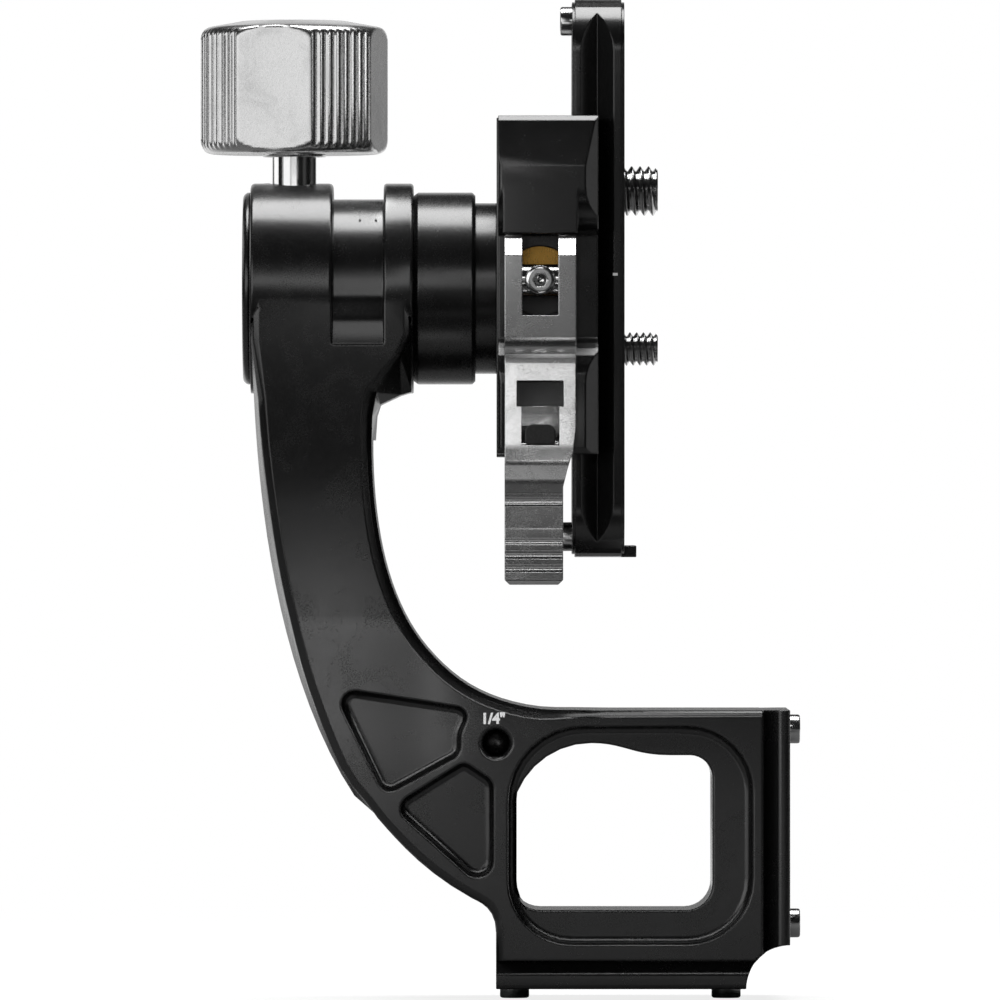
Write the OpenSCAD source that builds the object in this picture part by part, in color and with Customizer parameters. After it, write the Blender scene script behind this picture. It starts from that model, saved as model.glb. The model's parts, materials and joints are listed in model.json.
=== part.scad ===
// Gimbal tripod head: a C-shaped arm on dovetail rails, a tilt hub with a brake,
// and a lever clamp with a lens plate.
// Millimetres. Z is up and the origin is the centre of the base rail's face.
// X runs from the barrel to the camera side and Y from the lever to the back.

/* [Frame arm] */
// Height of the tilt axis over the face of the base rail
tilt_axis_h = 131.6; // [126:0.2:140]
// Thickness of the arm, front to back
arm_t = 39; // [38.6:0.1:39.2]
// Width of the arm below the barrel
arm_top_w = 22.7; // [20:0.1:24]
// Height of the block that carries the rails
block_h = 52.3; // [50:0.1:54]
// Distance from the block's left edge to the barrel's left face
elbow_l = 46.25; // [44:0.25:50]
// Rounding of the arm's edges
edge_r = 1.4; // [0.8:0.1:1.8]
// Depth of the recess round the window
recess_d = 6; // [3:0.5:9]
// Depth of the two blind pockets
pocket_d = 7; // [4:0.5:10]
// Radius of the concave corner between the rails
corner_r = 8.25; // [6:0.25:9]

/* [Rails] */
// Width of both dovetail rails
rail_w = 38; // [38:0.1:38.4]
// Length of the base rail
base_rail_l = 46.9; // [46:0.1:48]
// Distance from the middle of the base rail to the side rail's face
side_rail_reach = 31.7; // [31:0.1:33]
// Thickness of the base rail's lip
base_lip_t = 2.8; // [2:0.1:3]
// Depth of the base rail's groove
base_groove_d = 2.55; // [2.2:0.05:3]
// Thickness of the side rail's lip
side_lip_t = 2; // [1.8:0.1:2.6]
// Depth of the side rail's groove
side_groove_d = 3.1; // [2.6:0.1:3.4]

/* [Barrel and bearings] */
// Radius of the barrel
barrel_r = 19.8; // [19.7:0.1:20.4]
// Length of the barrel's plain end
barrel_end_l = 15.6; // [15.4:0.1:16]
// Length of the groove round the barrel
barrel_groove_l = 9.5; // [9:0.1:10]
// Depth of that groove
barrel_groove_d = 3; // [2:0.1:3.4]
// Length of the flange at the hub
flange_l = 5.6; // [5:0.1:6]
// Outer radius of the bearings
bearing_r = 14; // [13.8:0.1:14.2]
// Width of one bearing
bearing_w = 7; // [6.5:0.1:7.2]
// Radius of the shaft
shaft_r = 7.5; // [7:0.1:7.8]
// Radius of the bearing balls
ball_r = 1.55; // [1.4:0.05:1.6]
// Number of balls in one bearing
ball_n = 11; // [8:1:12]

/* [Hub] */
// Radius of the hub's sleeve
sleeve_r = 18.1; // [17.5:0.1:18.6]
// Length of the hub's sleeve
sleeve_l = 11.35; // [10:0.05:12]
// Radius of the hub's neck
hub_neck_r = 16.1; // [15:0.1:16.6]
// Length of the hub's neck
hub_neck_l = 4; // [3.5:0.1:5]

/* [Lock knob] */
// Radius of the knob
knob_r = 18; // [17:0.1:20]
// Height of the knob
knob_h = 25.65; // [22:0.05:28]
// Height of the knob over the barrel
knob_gap = 5; // [4.5:0.1:7]
// Distance of the knob's axis from the barrel's left face
knob_inset = 8.2; // [8:0.1:8.6]
// Radius of the stem
stem_r = 4.15; // [3.8:0.05:4.3]
// Distance of the four flats from the knob's axis
flat_reach = 16.45; // [16:0.05:17]
// Grooves in one knurled section
knurl_n = 8; // [4:1:8]
// Angle between two grooves
knurl_pitch = 5.3; // [4:0.1:5.3]
// Depth of a groove
knurl_d = 0.6; // [0.4:0.05:0.7]

/* [Clamp] */
// Length of the clamp
clamp_l = 63.6; // [60:0.2:68]
// Thickness of the clamp's floor
clamp_floor_t = 14.1; // [13.8:0.1:15]
// Distance from the middle to the back of the fixed jaw
fixed_jaw_reach = 27; // [26:0.5:29]
// Thickness of the moving jaw, from its back to its front
moving_jaw_t = 17.3; // [17.1:0.1:17.7]
// Height of both jaws over the clamp's floor
jaw_h = 4.9; // [4.7:0.05:5]
// Width of the bevel on the jaws' outer edges
jaw_bevel = 2.4; // [1.5:0.1:3]
// Travel of the moving jaw
jaw_travel = 2; // [1.5:0.1:2]

/* [Lever] */
// Width of the lever
lever_w = 13.3; // [12.6:0.1:13.4]
// Length from the pivot to the tip
lever_l = 56.7; // [55:0.1:60]
// Distance from the pivot to the top of the fork
fork_top = 8.46; // [8.4:0.02:8.5]
// Width of the slot in the fork
fork_slot_w = 6.7; // [6.4:0.1:6.8]
// Radius of the trunnion
trunnion_r = 3; // [2.8:0.1:3.1]
// Distance of the pivot above the tilt axis
pivot_rise = 1.04; // [0.5:0.02:1.5]
// Radius of the brass cam seat
seat_r = 6.5; // [6:0.1:6.8]
// Ridges across the thumb tab
ridge_n = 6; // [4:1:7]

/* [Lens plate] */
// Length of the plate
plate_l = 104.9; // [100:0.1:110]
// Thickness of the plate
plate_t = 9.8; // [9.6:0.1:10.4]
// Radius of the plate's corners
plate_corner_r = 10; // [8:0.5:11]
// Thickness of the plate's lip
plate_lip_t = 1.55; // [1.4:0.05:1.7]
// Depth of the plate's V-groove
plate_groove_d = 3.1; // [3:0.05:3.2]
// Height of the plate's lower end over the tilt axis, below it when negative
plate_low = -50.65; // [-54:0.05:-48]
// Length of the slot for the camera studs
slot_l = 60; // [58:0.5:62]

/* [Camera studs] */
// Radius of the large stud
stud_large_r = 4.7625; // [4.7625]
// Radius of the small stud
stud_small_r = 3.175; // [3.175]
// Height of both studs over the plate
stud_h = 6.4; // [5.5:0.1:7]
// Radius of the studs' heads
stud_head_r = 7.5; // [6.8:0.1:7.6]

/* [Hidden] */
$fn = 72;

// How far a cut runs past the face it opens
over = 0.5;
// Radial clearance of a turning or sliding fit
run_fit = 0.05;
// Clearance between pieces that pass each other
part_gap = 0.3;
// Play between the plate and the clamp
clamp_play = 0.1;
// Radial clearance of a piece that is pressed or screwed in
seat_fit = 0.02;

// Places along X
block_left = -base_rail_l / 2;
barrel_x0 = block_left - elbow_l;
groove_x0 = barrel_x0 + barrel_end_l;
flange_x0 = groove_x0 + barrel_groove_l;
flange_x1 = flange_x0 + flange_l;
knob_x = barrel_x0 + knob_inset;
sleeve_x0 = flange_x1 + part_gap;
sleeve_x1 = sleeve_x0 + sleeve_l;
clamp_x0 = sleeve_x1 + hub_neck_l;
floor_x = clamp_x0 + clamp_floor_t;
plate_x0 = floor_x + clamp_play;
plate_x1 = plate_x0 + plate_t;
jaw_x1 = floor_x + jaw_h;
clamp_mid_x = clamp_x0 + clamp_floor_t / 2;

// Screws of size M3
m3_head_r = 2.8;
m3_head_h = 2.2;
m3_socket_r = 1.45;
m3_shank_r = 1.5;
m3_shank_l = 6;
spot_d = 0.3;
spot_r = m3_head_r + part_gap;

// Places inside the block
block_face_x = side_rail_reach - side_lip_t - side_groove_d;
block_low = base_lip_t + base_groove_d;
side_screw_share = [0.229, 0.927];
base_screw_inset = 3.55;
base_screw_x = base_rail_l / 2 - base_screw_inset;
accessory_r = 2.55;
accessory_mouth_r = 3.2;
accessory_d = 12;
accessory_share = [0, 0.882];

// Bearings
race_t = 1.8;
inner_race_r = shaft_r + race_t;
ball_pitch_r = (bearing_r + shaft_r) / 2;
outer_race_inner_r = bearing_r - race_t;
shoulder_w = 3;
hub_edge = 0.6;
right_bearing_x0 = flange_x1 - bearing_w - seat_fit;
left_bearing_x0 = right_bearing_x0 - shoulder_w - bearing_w;
shoulder_r = 12.6;

// Brake
drum_r = 13.4;
drum_w = 10.2;
drum_x0 = left_bearing_x0 - drum_w;
drum_head_r = inner_race_r;
drum_head_h = 1.6;
pad_h = 3;
cap_r = 18.1;
cap_t = 1.4;
cap_plug_l = 1.1;
pad_top = drum_r + part_gap / 3 + pad_h;

// Dovetail of the plate and the jaws
plate_half = rail_w / 2;
flank_play = clamp_play * sqrt(2);
hook_tip = jaw_h - part_gap - clamp_play;

// Clamp in depth
floor_front = 17.6;
jaw_back = floor_front + part_gap;
moving_jaw_reach = jaw_back + moving_jaw_t;
jaw_base_w = clamp_floor_t - part_gap;
jaw_short = 0.5;
jaw_pocket_d = 11.2;
pocket_y = moving_jaw_reach - jaw_pocket_d;
pocket_half = 9.6;
jaw_shoulder_r = 8.5;
facet_h = 9.4;
facet_d = 1.8;
jaw_edge = 1;
tongue_w = lever_w + part_gap * 2;
tongue_h = 12;
seat_t = 1.6;
seat_y = pocket_y + seat_t / 2;

// Cam, pivot and tie screw
cam_throw = jaw_travel / 2;
cam_r = fork_top + cam_throw;
pivot_y = -(seat_y + cam_r + cam_throw + clamp_play);
pivot_z = tilt_axis_h + pivot_rise;
lever_inset = 8.15;
lever_x = clamp_x0 + lever_inset;
fork_slot_d = 6.6;
trunnion_l = lever_w - 4 * part_gap;
tie_flat = 0.6;
tie_seat_y = pivot_y - trunnion_r + tie_flat;
tie_head_h = 2.8;
tie_end = 10;

// Guides, springs and mounting screws inside the clamp
guide_z = 22;
guide_r = 2;
guide_in = 2;
spring_r = 3.2;
spring_wire = 0.7;
spring_hole_d = 4;
mount_pitch = 7.5;
mount_r = 2;
mount_head_r = 3.6;
mount_head_h = 4;
mount_hex_r = 1.75;
mount_floor_t = 5;
mount_thread_l = 7.5;

// Lever: its front is lever_front before the pivot, and its outlines are shares of that and of lever_l
lever_front = 5.5;
fork_facet = 3.9;
lever_side_shares = [
    [1, 0], [1, 0.194], [0.927, 0.219], [0.727, 0.24], [0.709, 0.265], [0.8, 0.317], [1.291, 0.547],
    [1.364, 0.6], [1.255, 0.661], [0.836, 0.743], [0.927, 0.929], [0.909, 0.984], [0.782, 1],
    [0.455, 1], [0.309, 0.979], [0.236, 0.743], [0.491, 0.653], [0.527, 0.547], [0.055, 0.317], [0.055, 0]
];
tab_inset = 2.4;
tab_corner = 0.9;
waist_shares = [[1, 0.679], [0.667, 0.621], [0.25, 0.564], [0, 0.485]];
ridge_r = 1.1;
ridge_sink = 0.75;
ridge_first = 3.1;
ridge_pitch = 2.5;

// Lock in the lever
lock_low = -0.545 * lever_l;
lock_high = -0.4145 * lever_l;
latch_high = -0.3316 * lever_l;
lock_w = 6.8;
latch_w = 8.6;
lock_floor = 4.4;
slider_t = 1.1;
slider_stem_w = 2.9;
prong_w = 0.8;
prong_gap = 4;
button_w = 5.6;
button_h = 3.75;
button_t = 2.1;
button_corner_r = 0.8;
button_corner_shares = [1, 1, 1.9, 1.9];
lock_spring_r = 0.8;

// Lens plate and its slot
plate_z0 = tilt_axis_h + plate_low;
plate_z1 = plate_z0 + plate_l;
plate_mid_z = (plate_z0 + plate_z1) / 2;
plate_edge = 1.1;
slot_play = 0.14;
slot_half = stud_large_r + slot_play;
slot_depth = 5;
web_x = plate_x0 + slot_depth;
recess_play = 0.6;
recess_half = stud_head_r + recess_play;
stud_head_h = 3.1;
stud_washer_t = 1.3;
stud_large_up = 16.6;
stud_small_down = 13.2;
stud_large_z = plate_mid_z + stud_large_up;
stud_small_z = plate_mid_z - stud_small_down;
stud_hex_r = 2.9;
stud_neck_r = 4.3;
stop_w = 18;
stop_h = 2.2;
stop_t = 2.3;
stop_seat_d = 2;
stop_screw_r = 1.25;
stop_screw_head_r = 2.3;
stop_screw_head_h = 1.4;
stop_screw_d = 2.5;
stop_screw_gap = 12;
stop_foot_h = 6;
stop_screw_h = 3.5;
plate_screw_inset = 3.9;

// A point of a Bezier curve with four control points, at share t of its run
function bezier_point(p, t) =
    pow(1 - t, 3) * p[0] + 3 * pow(1 - t, 2) * t * p[1] + 3 * (1 - t) * t * t * p[2] + pow(t, 3) * p[3];

// The points of a Bezier curve, without its last one
function bezier(p, n) = [for (i = [0 : n - 1]) bezier_point(p, i / n)];

// A vector of length one
function unit(v) = v / norm(v);

// The arc that rounds corner b between a and c
function round_corner(a, b, c, r, n = 8) =
    let (
        u = unit(a - b),
        v = unit(c - b),
        half = acos(u * v) / 2,
        mid = b + unit(u + v) * r / sin(half),
        from = b + u * r / tan(half) - mid,
        to = b + v * r / tan(half) - mid,
        sweep = 180 - 2 * half,
        side = sign(from[0] * to[1] - from[1] * to[0])
    )
    [for (i = [0 : n]) let (w = side * sweep * i / n)
        mid + [from[0] * cos(w) - from[1] * sin(w), from[0] * sin(w) + from[1] * cos(w)]];

// A closed outline with each corner rounded by its own radius
function rounded(pts, radii) =
    let (n = len(pts))
    [for (i = [0 : n - 1]) each round_corner(pts[(i + n - 1) % n], pts[i], pts[(i + 1) % n], radii[i])];

// A place on the elbow: shares of elbow_l to the left of the block and of block_h upwards
function elbow(share) = [block_left - share[0] * elbow_l, share[1] * block_h];

function elbow_points(shares) = [for (s = shares) elbow(s)];

// Control points of the elbow, as shares
low_curve_shares = [[0.475, 0.614], [0.453, 0.591], [0.333, 0.439], [0.098, 0.326]];
heel_curve_shares = [[0.098, 0.326], [0.062, 0.31], [0, 0.291], [0, 0.202]];
crease_share = [0.576, 0.692];
inner_split_share = [0.27, 1.227];
inner_handle_share = [0.113, 1.064];
inner_flat_share = [-0.055, 1];
inner_end_share = [-0.465, 1];

// Places of the arm's upper end
arm_step = 0.8;
arm_drop = 1.2;
neck_drop = 7.6;
arm_x0 = barrel_x0 + arm_step;
arm_x1 = arm_x0 + arm_top_w;
arm_top_z = tilt_axis_h - barrel_r - arm_drop;
inner_top_z = arm_top_z - neck_drop;
bulge = 1.4;
arm_root_w = 10;
flange_inner_x = flange_x1 - part_gap;

// A place at shares of a size from a corner
function placed(corner, size, share) = corner + [share[0] * size[0], share[1] * size[1]];

// Outer edge from the barrel to the crease, at the middle of the thickness and at the front
outer_corner = [arm_x0, arm_top_z];
outer_run = elbow(crease_share) - outer_corner;
outer_shares = [[0.043, 0.222], [0.193, 0.687]];
outer_mid = concat(
    bezier([outer_corner, placed(outer_corner, outer_run, outer_shares[0]),
        placed(outer_corner, outer_run, outer_shares[1]), elbow(crease_share)], 18),
    [for (i = [0 : 3]) elbow(crease_share) + (elbow(low_curve_shares[0]) - elbow(crease_share)) * i / 4]
);
front_corner = [arm_x0 + bulge, arm_top_z];
front_run = elbow(low_curve_shares[0]) - front_corner;
front_shares = [[0.05, 0.24], [0.28, 0.7]];
outer_front = bezier([front_corner, placed(front_corner, front_run, front_shares[0]),
    placed(front_corner, front_run, front_shares[1]), elbow(low_curve_shares[0])], 22);

// Shoulders where the arm meets the barrel, from the barrel down, as shares of their width and rise
neck_w = flange_inner_x - arm_x1;
mid_rise = 9;
front_rise = 19.5;
mid_shoulder_shares = [[1, 1], [0.7, 0.933], [0.145, 0.733], [0.043, 0.5]];
front_shoulder_shares = [[1, 1], [0.7, 0.77], [0.116, 0.436], [0.015, 0.23]];
function shoulder(shares, rise) = [for (s = shares) placed([arm_x1, inner_top_z], [neck_w, rise], s)];
mid_shoulder = shoulder(mid_shoulder_shares, mid_rise);
front_shoulder = shoulder(front_shoulder_shares, front_rise);

// Inner edge from the shoulder to the block's top
inner_edge = concat(
    bezier([[arm_x1, inner_top_z], [arm_x1, inner_top_z - (inner_top_z - block_h) / 3],
        2 * elbow(inner_split_share) - elbow(inner_handle_share), elbow(inner_split_share)], 18),
    bezier([elbow(inner_split_share), elbow(inner_handle_share), elbow(inner_flat_share),
        elbow(inner_end_share)], 15),
    [elbow(inner_end_share)]
);

// The arm's left edge and right edge, both from the barrel down and with as many points
function left_edge(outer) = concat(
    [[barrel_x0 + part_gap, tilt_axis_h], [barrel_x0 + part_gap, tilt_axis_h - barrel_r / 2]],
    outer,
    bezier(elbow_points(low_curve_shares), 8),
    bezier(elbow_points(heel_curve_shares), 6),
    [elbow(heel_curve_shares[3]), elbow(heel_curve_shares[3]) + [arm_root_w, 0]]
);
function right_edge(shoulder) = concat([[flange_inner_x, tilt_axis_h]], shoulder, inner_edge,
    [elbow(inner_end_share) + [arm_root_w, 0]]);

// Both edges as one closed ring, counter-clockwise
function arm_ring(outer, shoulder) =
    let (right = right_edge(shoulder), n = len(right))
    concat(left_edge(outer), [for (i = [1 : n]) right[n - i]]);

// The same outline moved in by d, square to its edges
function inset(pts, d) =
    let (n = len(pts))
    [for (i = [0 : n - 1])
        let (
            before = unit(pts[i] - pts[(i + n - 1) % n]),
            after = unit(pts[(i + 1) % n] - pts[i]),
            mean = unit(before + after),
            stretch = mean * after
        )
        pts[i] + [-mean[1], mean[0]] * d / max(stretch, 0.5)];

function at_depth(pts, y) = [for (p = pts) [p[0], y, p[1]]];

// A solid through rings, from front to back. Each ring is a left edge down and a right edge up,
// with as many points in both.
module loft(rings) {
    n = len(rings[0]);
    last = len(rings) - 1;
    function rung(k, i) = [k * n + i, k * n + i + 1, k * n + n - 2 - i, k * n + n - 1 - i];
    function reversed(face) = [face[3], face[2], face[1], face[0]];
    polyhedron(
        points = [for (r = rings) each r],
        faces = concat(
            [for (i = [0 : n / 2 - 2]) reversed(rung(0, i))],
            [for (k = [0 : last - 1]) for (i = [0 : n - 1])
                [k * n + i, k * n + (i + 1) % n, (k + 1) * n + (i + 1) % n, (k + 1) * n + i]],
            [for (i = [0 : n / 2 - 2]) rung(last, i)]
        )
    );
}

// A cylinder along X from x0, on the tilt axis
module along_x(x0, l, r, z = tilt_axis_h, y = 0) {
    translate([x0, y, z]) rotate([0, 90, 0]) cylinder(h = l, r = r);
}

// A cylinder along Y from y0
module along_y(y0, l, r, x, z) {
    translate([x, y0, z]) rotate([-90, 0, 0]) cylinder(h = l, r = r);
}

// A turned piece whose profile gives [distance from the axis, place along X]
module turned_x(profile) {
    translate([0, 0, tilt_axis_h]) rotate([0, 90, 0]) rotate_extrude() polygon(profile);
}

// A socket head screw pointing along -Z from the seat at z = 0
module cap_screw(head_r, head_h, shank_r, shank_l, socket_r) {
    difference() {
        union() {
            cylinder(h = head_h, r = head_r);
            translate([0, 0, -shank_l]) cylinder(h = shank_l + over, r = shank_r);
        }
        translate([0, 0, head_h / 2]) cylinder(h = head_h, r = socket_r, $fn = 6);
    }
}

module m3_screw() {
    cap_screw(m3_head_r, m3_head_h + spot_d, m3_shank_r, m3_shank_l, m3_socket_r);
}

// The hole and spot face of such a screw
module m3_hole() {
    translate([0, 0, -m3_shank_l - over]) cylinder(h = m3_shank_l + 2 * over, r = m3_shank_r + seat_fit);
    cylinder(h = spot_d + over, r = spot_r);
}

module place_base_screws() {
    for (s = [-1, 1]) translate([s * base_screw_x, 0, spot_d]) rotate([180, 0, 0]) children();
}

module place_side_screws() {
    for (s = side_screw_share)
        translate([side_rail_reach - spot_d, 0, s * block_h]) rotate([0, 90, 0]) children();
}

// The half profile of a dovetail rail: [distance from its face, half width]
function rail_profile(lip, groove) = [
    [0, rail_w / 2], [lip, rail_w / 2], [lip + groove, rail_w / 2 - groove],
    [lip + groove + edge_r, rail_w / 2 - groove]
];

module rail_section(lip, groove) {
    half = rail_profile(lip, groove);
    polygon(concat(half, [for (i = [3 : -1 : 0]) [half[i][0], -half[i][1]]]));
}

// The base rail's section stands on its face, and the side rail's is turned a quarter
module rails() {
    translate([block_left, 0, 0]) rotate([90, 0, 90]) linear_extrude(side_rail_reach - block_left)
        rotate([0, 0, 90]) mirror([0, 1, 0]) rail_section(base_lip_t, base_groove_d);
    linear_extrude(block_h) translate([side_rail_reach, 0]) mirror([1, 0, 0])
        rail_section(side_lip_t, side_groove_d);
}

// Window through the block, with a raised crown at its top left, and the recess round it
window_wall_left = 2.85;
window_wall_right = 9.44;
window_wall_low = 9.37;
window_wall_top = 6.26;
window_step = 2.27;
window_peak_in = 15.1;
window_left = block_left + window_wall_left;
window_right = block_face_x - window_wall_right;
window_low = block_low + window_wall_low;
window_top = block_h - window_wall_top;
window_peak_x = window_left + window_peak_in;
window_corner_r = 5;
window_crown_r = 15;
window_corner_shares = [1.1, 1, 0.84];
crown_start = 8;
crown_reach = 15;
crown_end = 6;
crown_low = window_top - window_step;
crown_curve = [
    [window_right - crown_start, crown_low], [window_right - crown_reach, crown_low],
    [window_peak_x + crown_end, window_top], [window_peak_x, window_top]
];
window_outline = concat(
    round_corner([window_left, window_top], [window_left, window_low], [window_right, window_low],
        window_corner_shares[0] * window_corner_r),
    round_corner([window_left, window_low], [window_right, window_low], [window_right, window_top],
        window_corner_shares[1] * window_corner_r),
    round_corner([window_right, window_low], [window_right, window_top - window_step],
        [window_left, window_top - window_step], window_corner_shares[2] * window_corner_r),
    bezier(crown_curve, 10),
    round_corner([window_right, window_top], [window_left, window_top], [window_left, window_low],
        window_crown_r)
);
recess_rim_left = 2.28;
recess_rim_right = 1.97;
recess_rim = 3.05;
recess_left = block_left + recess_rim_left;
recess_right = block_face_x - recess_rim_right;
recess_low = block_low + recess_rim;
recess_top = block_h - recess_rim;
recess_corner_r = 12.3;
recess_corner_shares = [0.97, 1, 1, 1.15];
recess_outline = rounded(
    [[recess_left, recess_low], [recess_right, recess_low], [recess_right, recess_top],
        [recess_left, recess_top]],
    recess_corner_r * recess_corner_shares
);

// Blind pockets of the elbow, as shares, with the radius of each corner
upper_pocket_shares = [[0.665, 1.082], [0.451, 0.693], [0.144, 0.84], [0.144, 0.913], [0.1, 1.005]];
upper_pocket_corner_shares = [0.83, 0.78, 1, 1.2, 0.7];
lower_pocket_shares = [[0.42, 0.655], [0.012, 0.33], [0.012, 0.745], [0.13, 0.815]];
lower_pocket_corner_shares = [0.8, 1, 0.87, 0.67];
pocket_corner_r = 3;
upper_pocket = rounded(elbow_points(upper_pocket_shares), pocket_corner_r * upper_pocket_corner_shares);
lower_pocket = rounded(elbow_points(lower_pocket_shares), pocket_corner_r * lower_pocket_corner_shares);

// Cuts a shape into the front face and into the back face
module into_both_faces(depth) {
    for (s = [-1, 1])
        translate([0, s > 0 ? arm_t / 2 + over : -arm_t / 2 + depth, 0]) rotate([90, 0, 0])
            linear_extrude(depth + over) children();
}

// Ring cut away round the barrel, running out in a round hollow on the front and the back
module barrel_groove() {
    floor_r = barrel_r - barrel_groove_d;
    runout_z = tilt_axis_h - barrel_groove_d * 1.45;
    runout_r = barrel_groove_d * 2.7;
    difference() {
        along_x(groove_x0, barrel_groove_l, barrel_r + barrel_groove_d);
        along_x(groove_x0 - over, barrel_groove_l + 2 * over, floor_r);
        translate([groove_x0 - over, -barrel_r * 2, runout_z - barrel_r * 2])
            cube([barrel_groove_l + 2 * over, barrel_r * 4, barrel_r * 2]);
    }
    for (s = [-1, 1])
        along_x(groove_x0, barrel_groove_l, runout_r, runout_z, s * (floor_r - over + runout_r));
}

// The block over the base rail, with rounded edges at its top and its left
module block() {
    half = arm_t / 2;
    small = edge_r / 4;
    intersection() {
        translate([0, 0, block_low]) linear_extrude(block_h - block_low) polygon(rounded(
            [[block_left, -half], [block_face_x, -half], [block_face_x, half], [block_left, half]],
            [edge_r, small, small, edge_r]
        ));
        translate([block_left, 0, 0]) rotate([90, 0, 90]) linear_extrude(block_face_x - block_left)
            polygon(rounded(
                [[-half, block_low], [half, block_low], [half, block_h], [-half, block_h]],
                [small, small, edge_r, edge_r]
            ));
    }
}

module frame_arm() {
    front = arm_ring(outer_front, front_shoulder);
    middle = arm_ring(outer_mid, mid_shoulder);
    half = arm_t / 2;
    difference() {
        union() {
            loft([
                at_depth(inset(front, edge_r), -half),
                at_depth(inset(front, edge_r * 0.3), -half + edge_r * 0.3),
                at_depth(front, -half + edge_r),
                at_depth(middle, -half + edge_r * 5),
                at_depth(middle, half - edge_r * 5),
                at_depth(front, half - edge_r),
                at_depth(inset(front, edge_r * 0.3), half - edge_r * 0.3),
                at_depth(inset(front, edge_r), half)
            ]);
            block();
            rails();
            along_x(barrel_x0, flange_x1 - barrel_x0, barrel_r);
        }
        barrel_groove();
        along_x(barrel_x0 - over, left_bearing_x0 + bearing_w - barrel_x0 + over, bearing_r);
        along_x(right_bearing_x0, bearing_w + seat_fit + over, bearing_r);
        along_x(barrel_x0, flange_x1 - barrel_x0, shoulder_r);
        translate([knob_x, 0, tilt_axis_h]) cylinder(h = barrel_r + over, r = stem_r + run_fit);
        translate([0, half + over, 0]) rotate([90, 0, 0]) linear_extrude(arm_t + 2 * over)
            polygon(window_outline);
        into_both_faces(recess_d) polygon(recess_outline);
        into_both_faces(pocket_d) polygon(upper_pocket);
        into_both_faces(pocket_d) polygon(lower_pocket);
        translate([elbow(accessory_share)[0], -half, elbow(accessory_share)[1]]) rotate([-90, 0, 0]) {
            translate([0, 0, -over]) cylinder(h = accessory_d + over, r = accessory_r);
            cylinder(h = accessory_mouth_r - accessory_r, r1 = accessory_mouth_r, r2 = accessory_r);
        }
        translate([side_rail_reach, -half - over, 0]) rotate([-90, 0, 0])
            cylinder(h = arm_t + 2 * over, r = corner_r);
        place_base_screws() m3_hole();
        place_side_screws() m3_hole();
    }
}

module draw_frame_arm() {
    color("#1b1b1d") frame_arm();
}

module draw_end_cap() {
    color("#151517") turned_x([
        [0, barrel_x0 - cap_t], [cap_r - cap_t / 2, barrel_x0 - cap_t], [cap_r, barrel_x0 - cap_t / 2],
        [cap_r, barrel_x0], [bearing_r - run_fit, barrel_x0], [bearing_r - run_fit, barrel_x0 + cap_plug_l],
        [0, barrel_x0 + cap_plug_l]
    ]);
}

// One race from r0 to r1, with a groove for the balls
module race(x0, r0, r1) {
    translate([0, 0, tilt_axis_h]) rotate([0, 90, 0]) rotate_extrude() difference() {
        translate([r0, x0]) square([r1 - r0, bearing_w]);
        translate([ball_pitch_r, x0 + bearing_w / 2]) circle(r = ball_r + run_fit);
    }
}

module draw_bearing_outer_races() {
    color("#b9bcc0") for (x0 = [left_bearing_x0, right_bearing_x0])
        race(x0, outer_race_inner_r, bearing_r - seat_fit);
}

module draw_bearing_inner_races() {
    color("#b9bcc0") for (x0 = [left_bearing_x0, right_bearing_x0])
        race(x0, shaft_r + seat_fit, inner_race_r);
}

module draw_bearing_balls() {
    color("#d7dadd") for (x0 = [left_bearing_x0, right_bearing_x0]) for (i = [1 : ball_n])
        translate([x0 + bearing_w / 2, 0, tilt_axis_h]) rotate([i * 360 / ball_n, 0, 0])
            translate([0, ball_pitch_r, 0]) sphere(r = ball_r, $fn = 24);
}

module draw_bearing_spacer() {
    color("#9a9da1") turned_x([
        [shaft_r + seat_fit, left_bearing_x0 + bearing_w], [inner_race_r, left_bearing_x0 + bearing_w],
        [inner_race_r, right_bearing_x0], [shaft_r + seat_fit, right_bearing_x0]
    ]);
}

module draw_tilt_hub() {
    color("#1b1b1d") difference() {
        turned_x([
            [0, drum_x0], [shaft_r, drum_x0], [shaft_r, right_bearing_x0 + bearing_w],
            [inner_race_r, right_bearing_x0 + bearing_w], [inner_race_r, sleeve_x0],
            [sleeve_r - hub_edge, sleeve_x0], [sleeve_r, sleeve_x0 + hub_edge],
            [sleeve_r, sleeve_x1 - hub_edge], [sleeve_r - hub_edge, sleeve_x1],
            [hub_neck_r, sleeve_x1], [hub_neck_r, clamp_x0], [0, clamp_x0]
        ]);
        along_x(drum_x0 - over, drum_w + over, m3_shank_r + seat_fit);
        place_mount_screws() translate([0, 0, -mount_floor_t - mount_thread_l - over])
            cylinder(h = mount_floor_t + mount_thread_l + over, r = mount_r + seat_fit);
    }
}

module draw_brake_drum() {
    color("#8f9296") turned_x([
        [shaft_r + seat_fit, drum_x0], [drum_r, drum_x0], [drum_r, left_bearing_x0 - part_gap],
        [inner_race_r, left_bearing_x0 - part_gap], [inner_race_r, left_bearing_x0],
        [shaft_r + seat_fit, left_bearing_x0]
    ]);
}

module draw_drum_screw() {
    color("#c3c6ca") translate([drum_x0, 0, tilt_axis_h]) rotate([0, -90, 0])
        cap_screw(drum_head_r, drum_head_h, m3_shank_r, drum_w - over, m3_socket_r);
}

module draw_base_stop_screws() {
    color("#c3c6ca") place_base_screws() m3_screw();
}

module draw_side_stop_screws() {
    color("#c3c6ca") place_side_screws() m3_screw();
}

module draw_brake_pad() {
    color("#b08d57") translate([knob_x, 0, tilt_axis_h + pad_top - pad_h]) cylinder(h = pad_h, r = stem_r);
}

module draw_knob_stem() {
    color("#cfd2d6") translate([knob_x, 0, tilt_axis_h + pad_top])
        cylinder(h = barrel_r + knob_gap - pad_top + knob_h / 2, r = stem_r);
}

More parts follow.
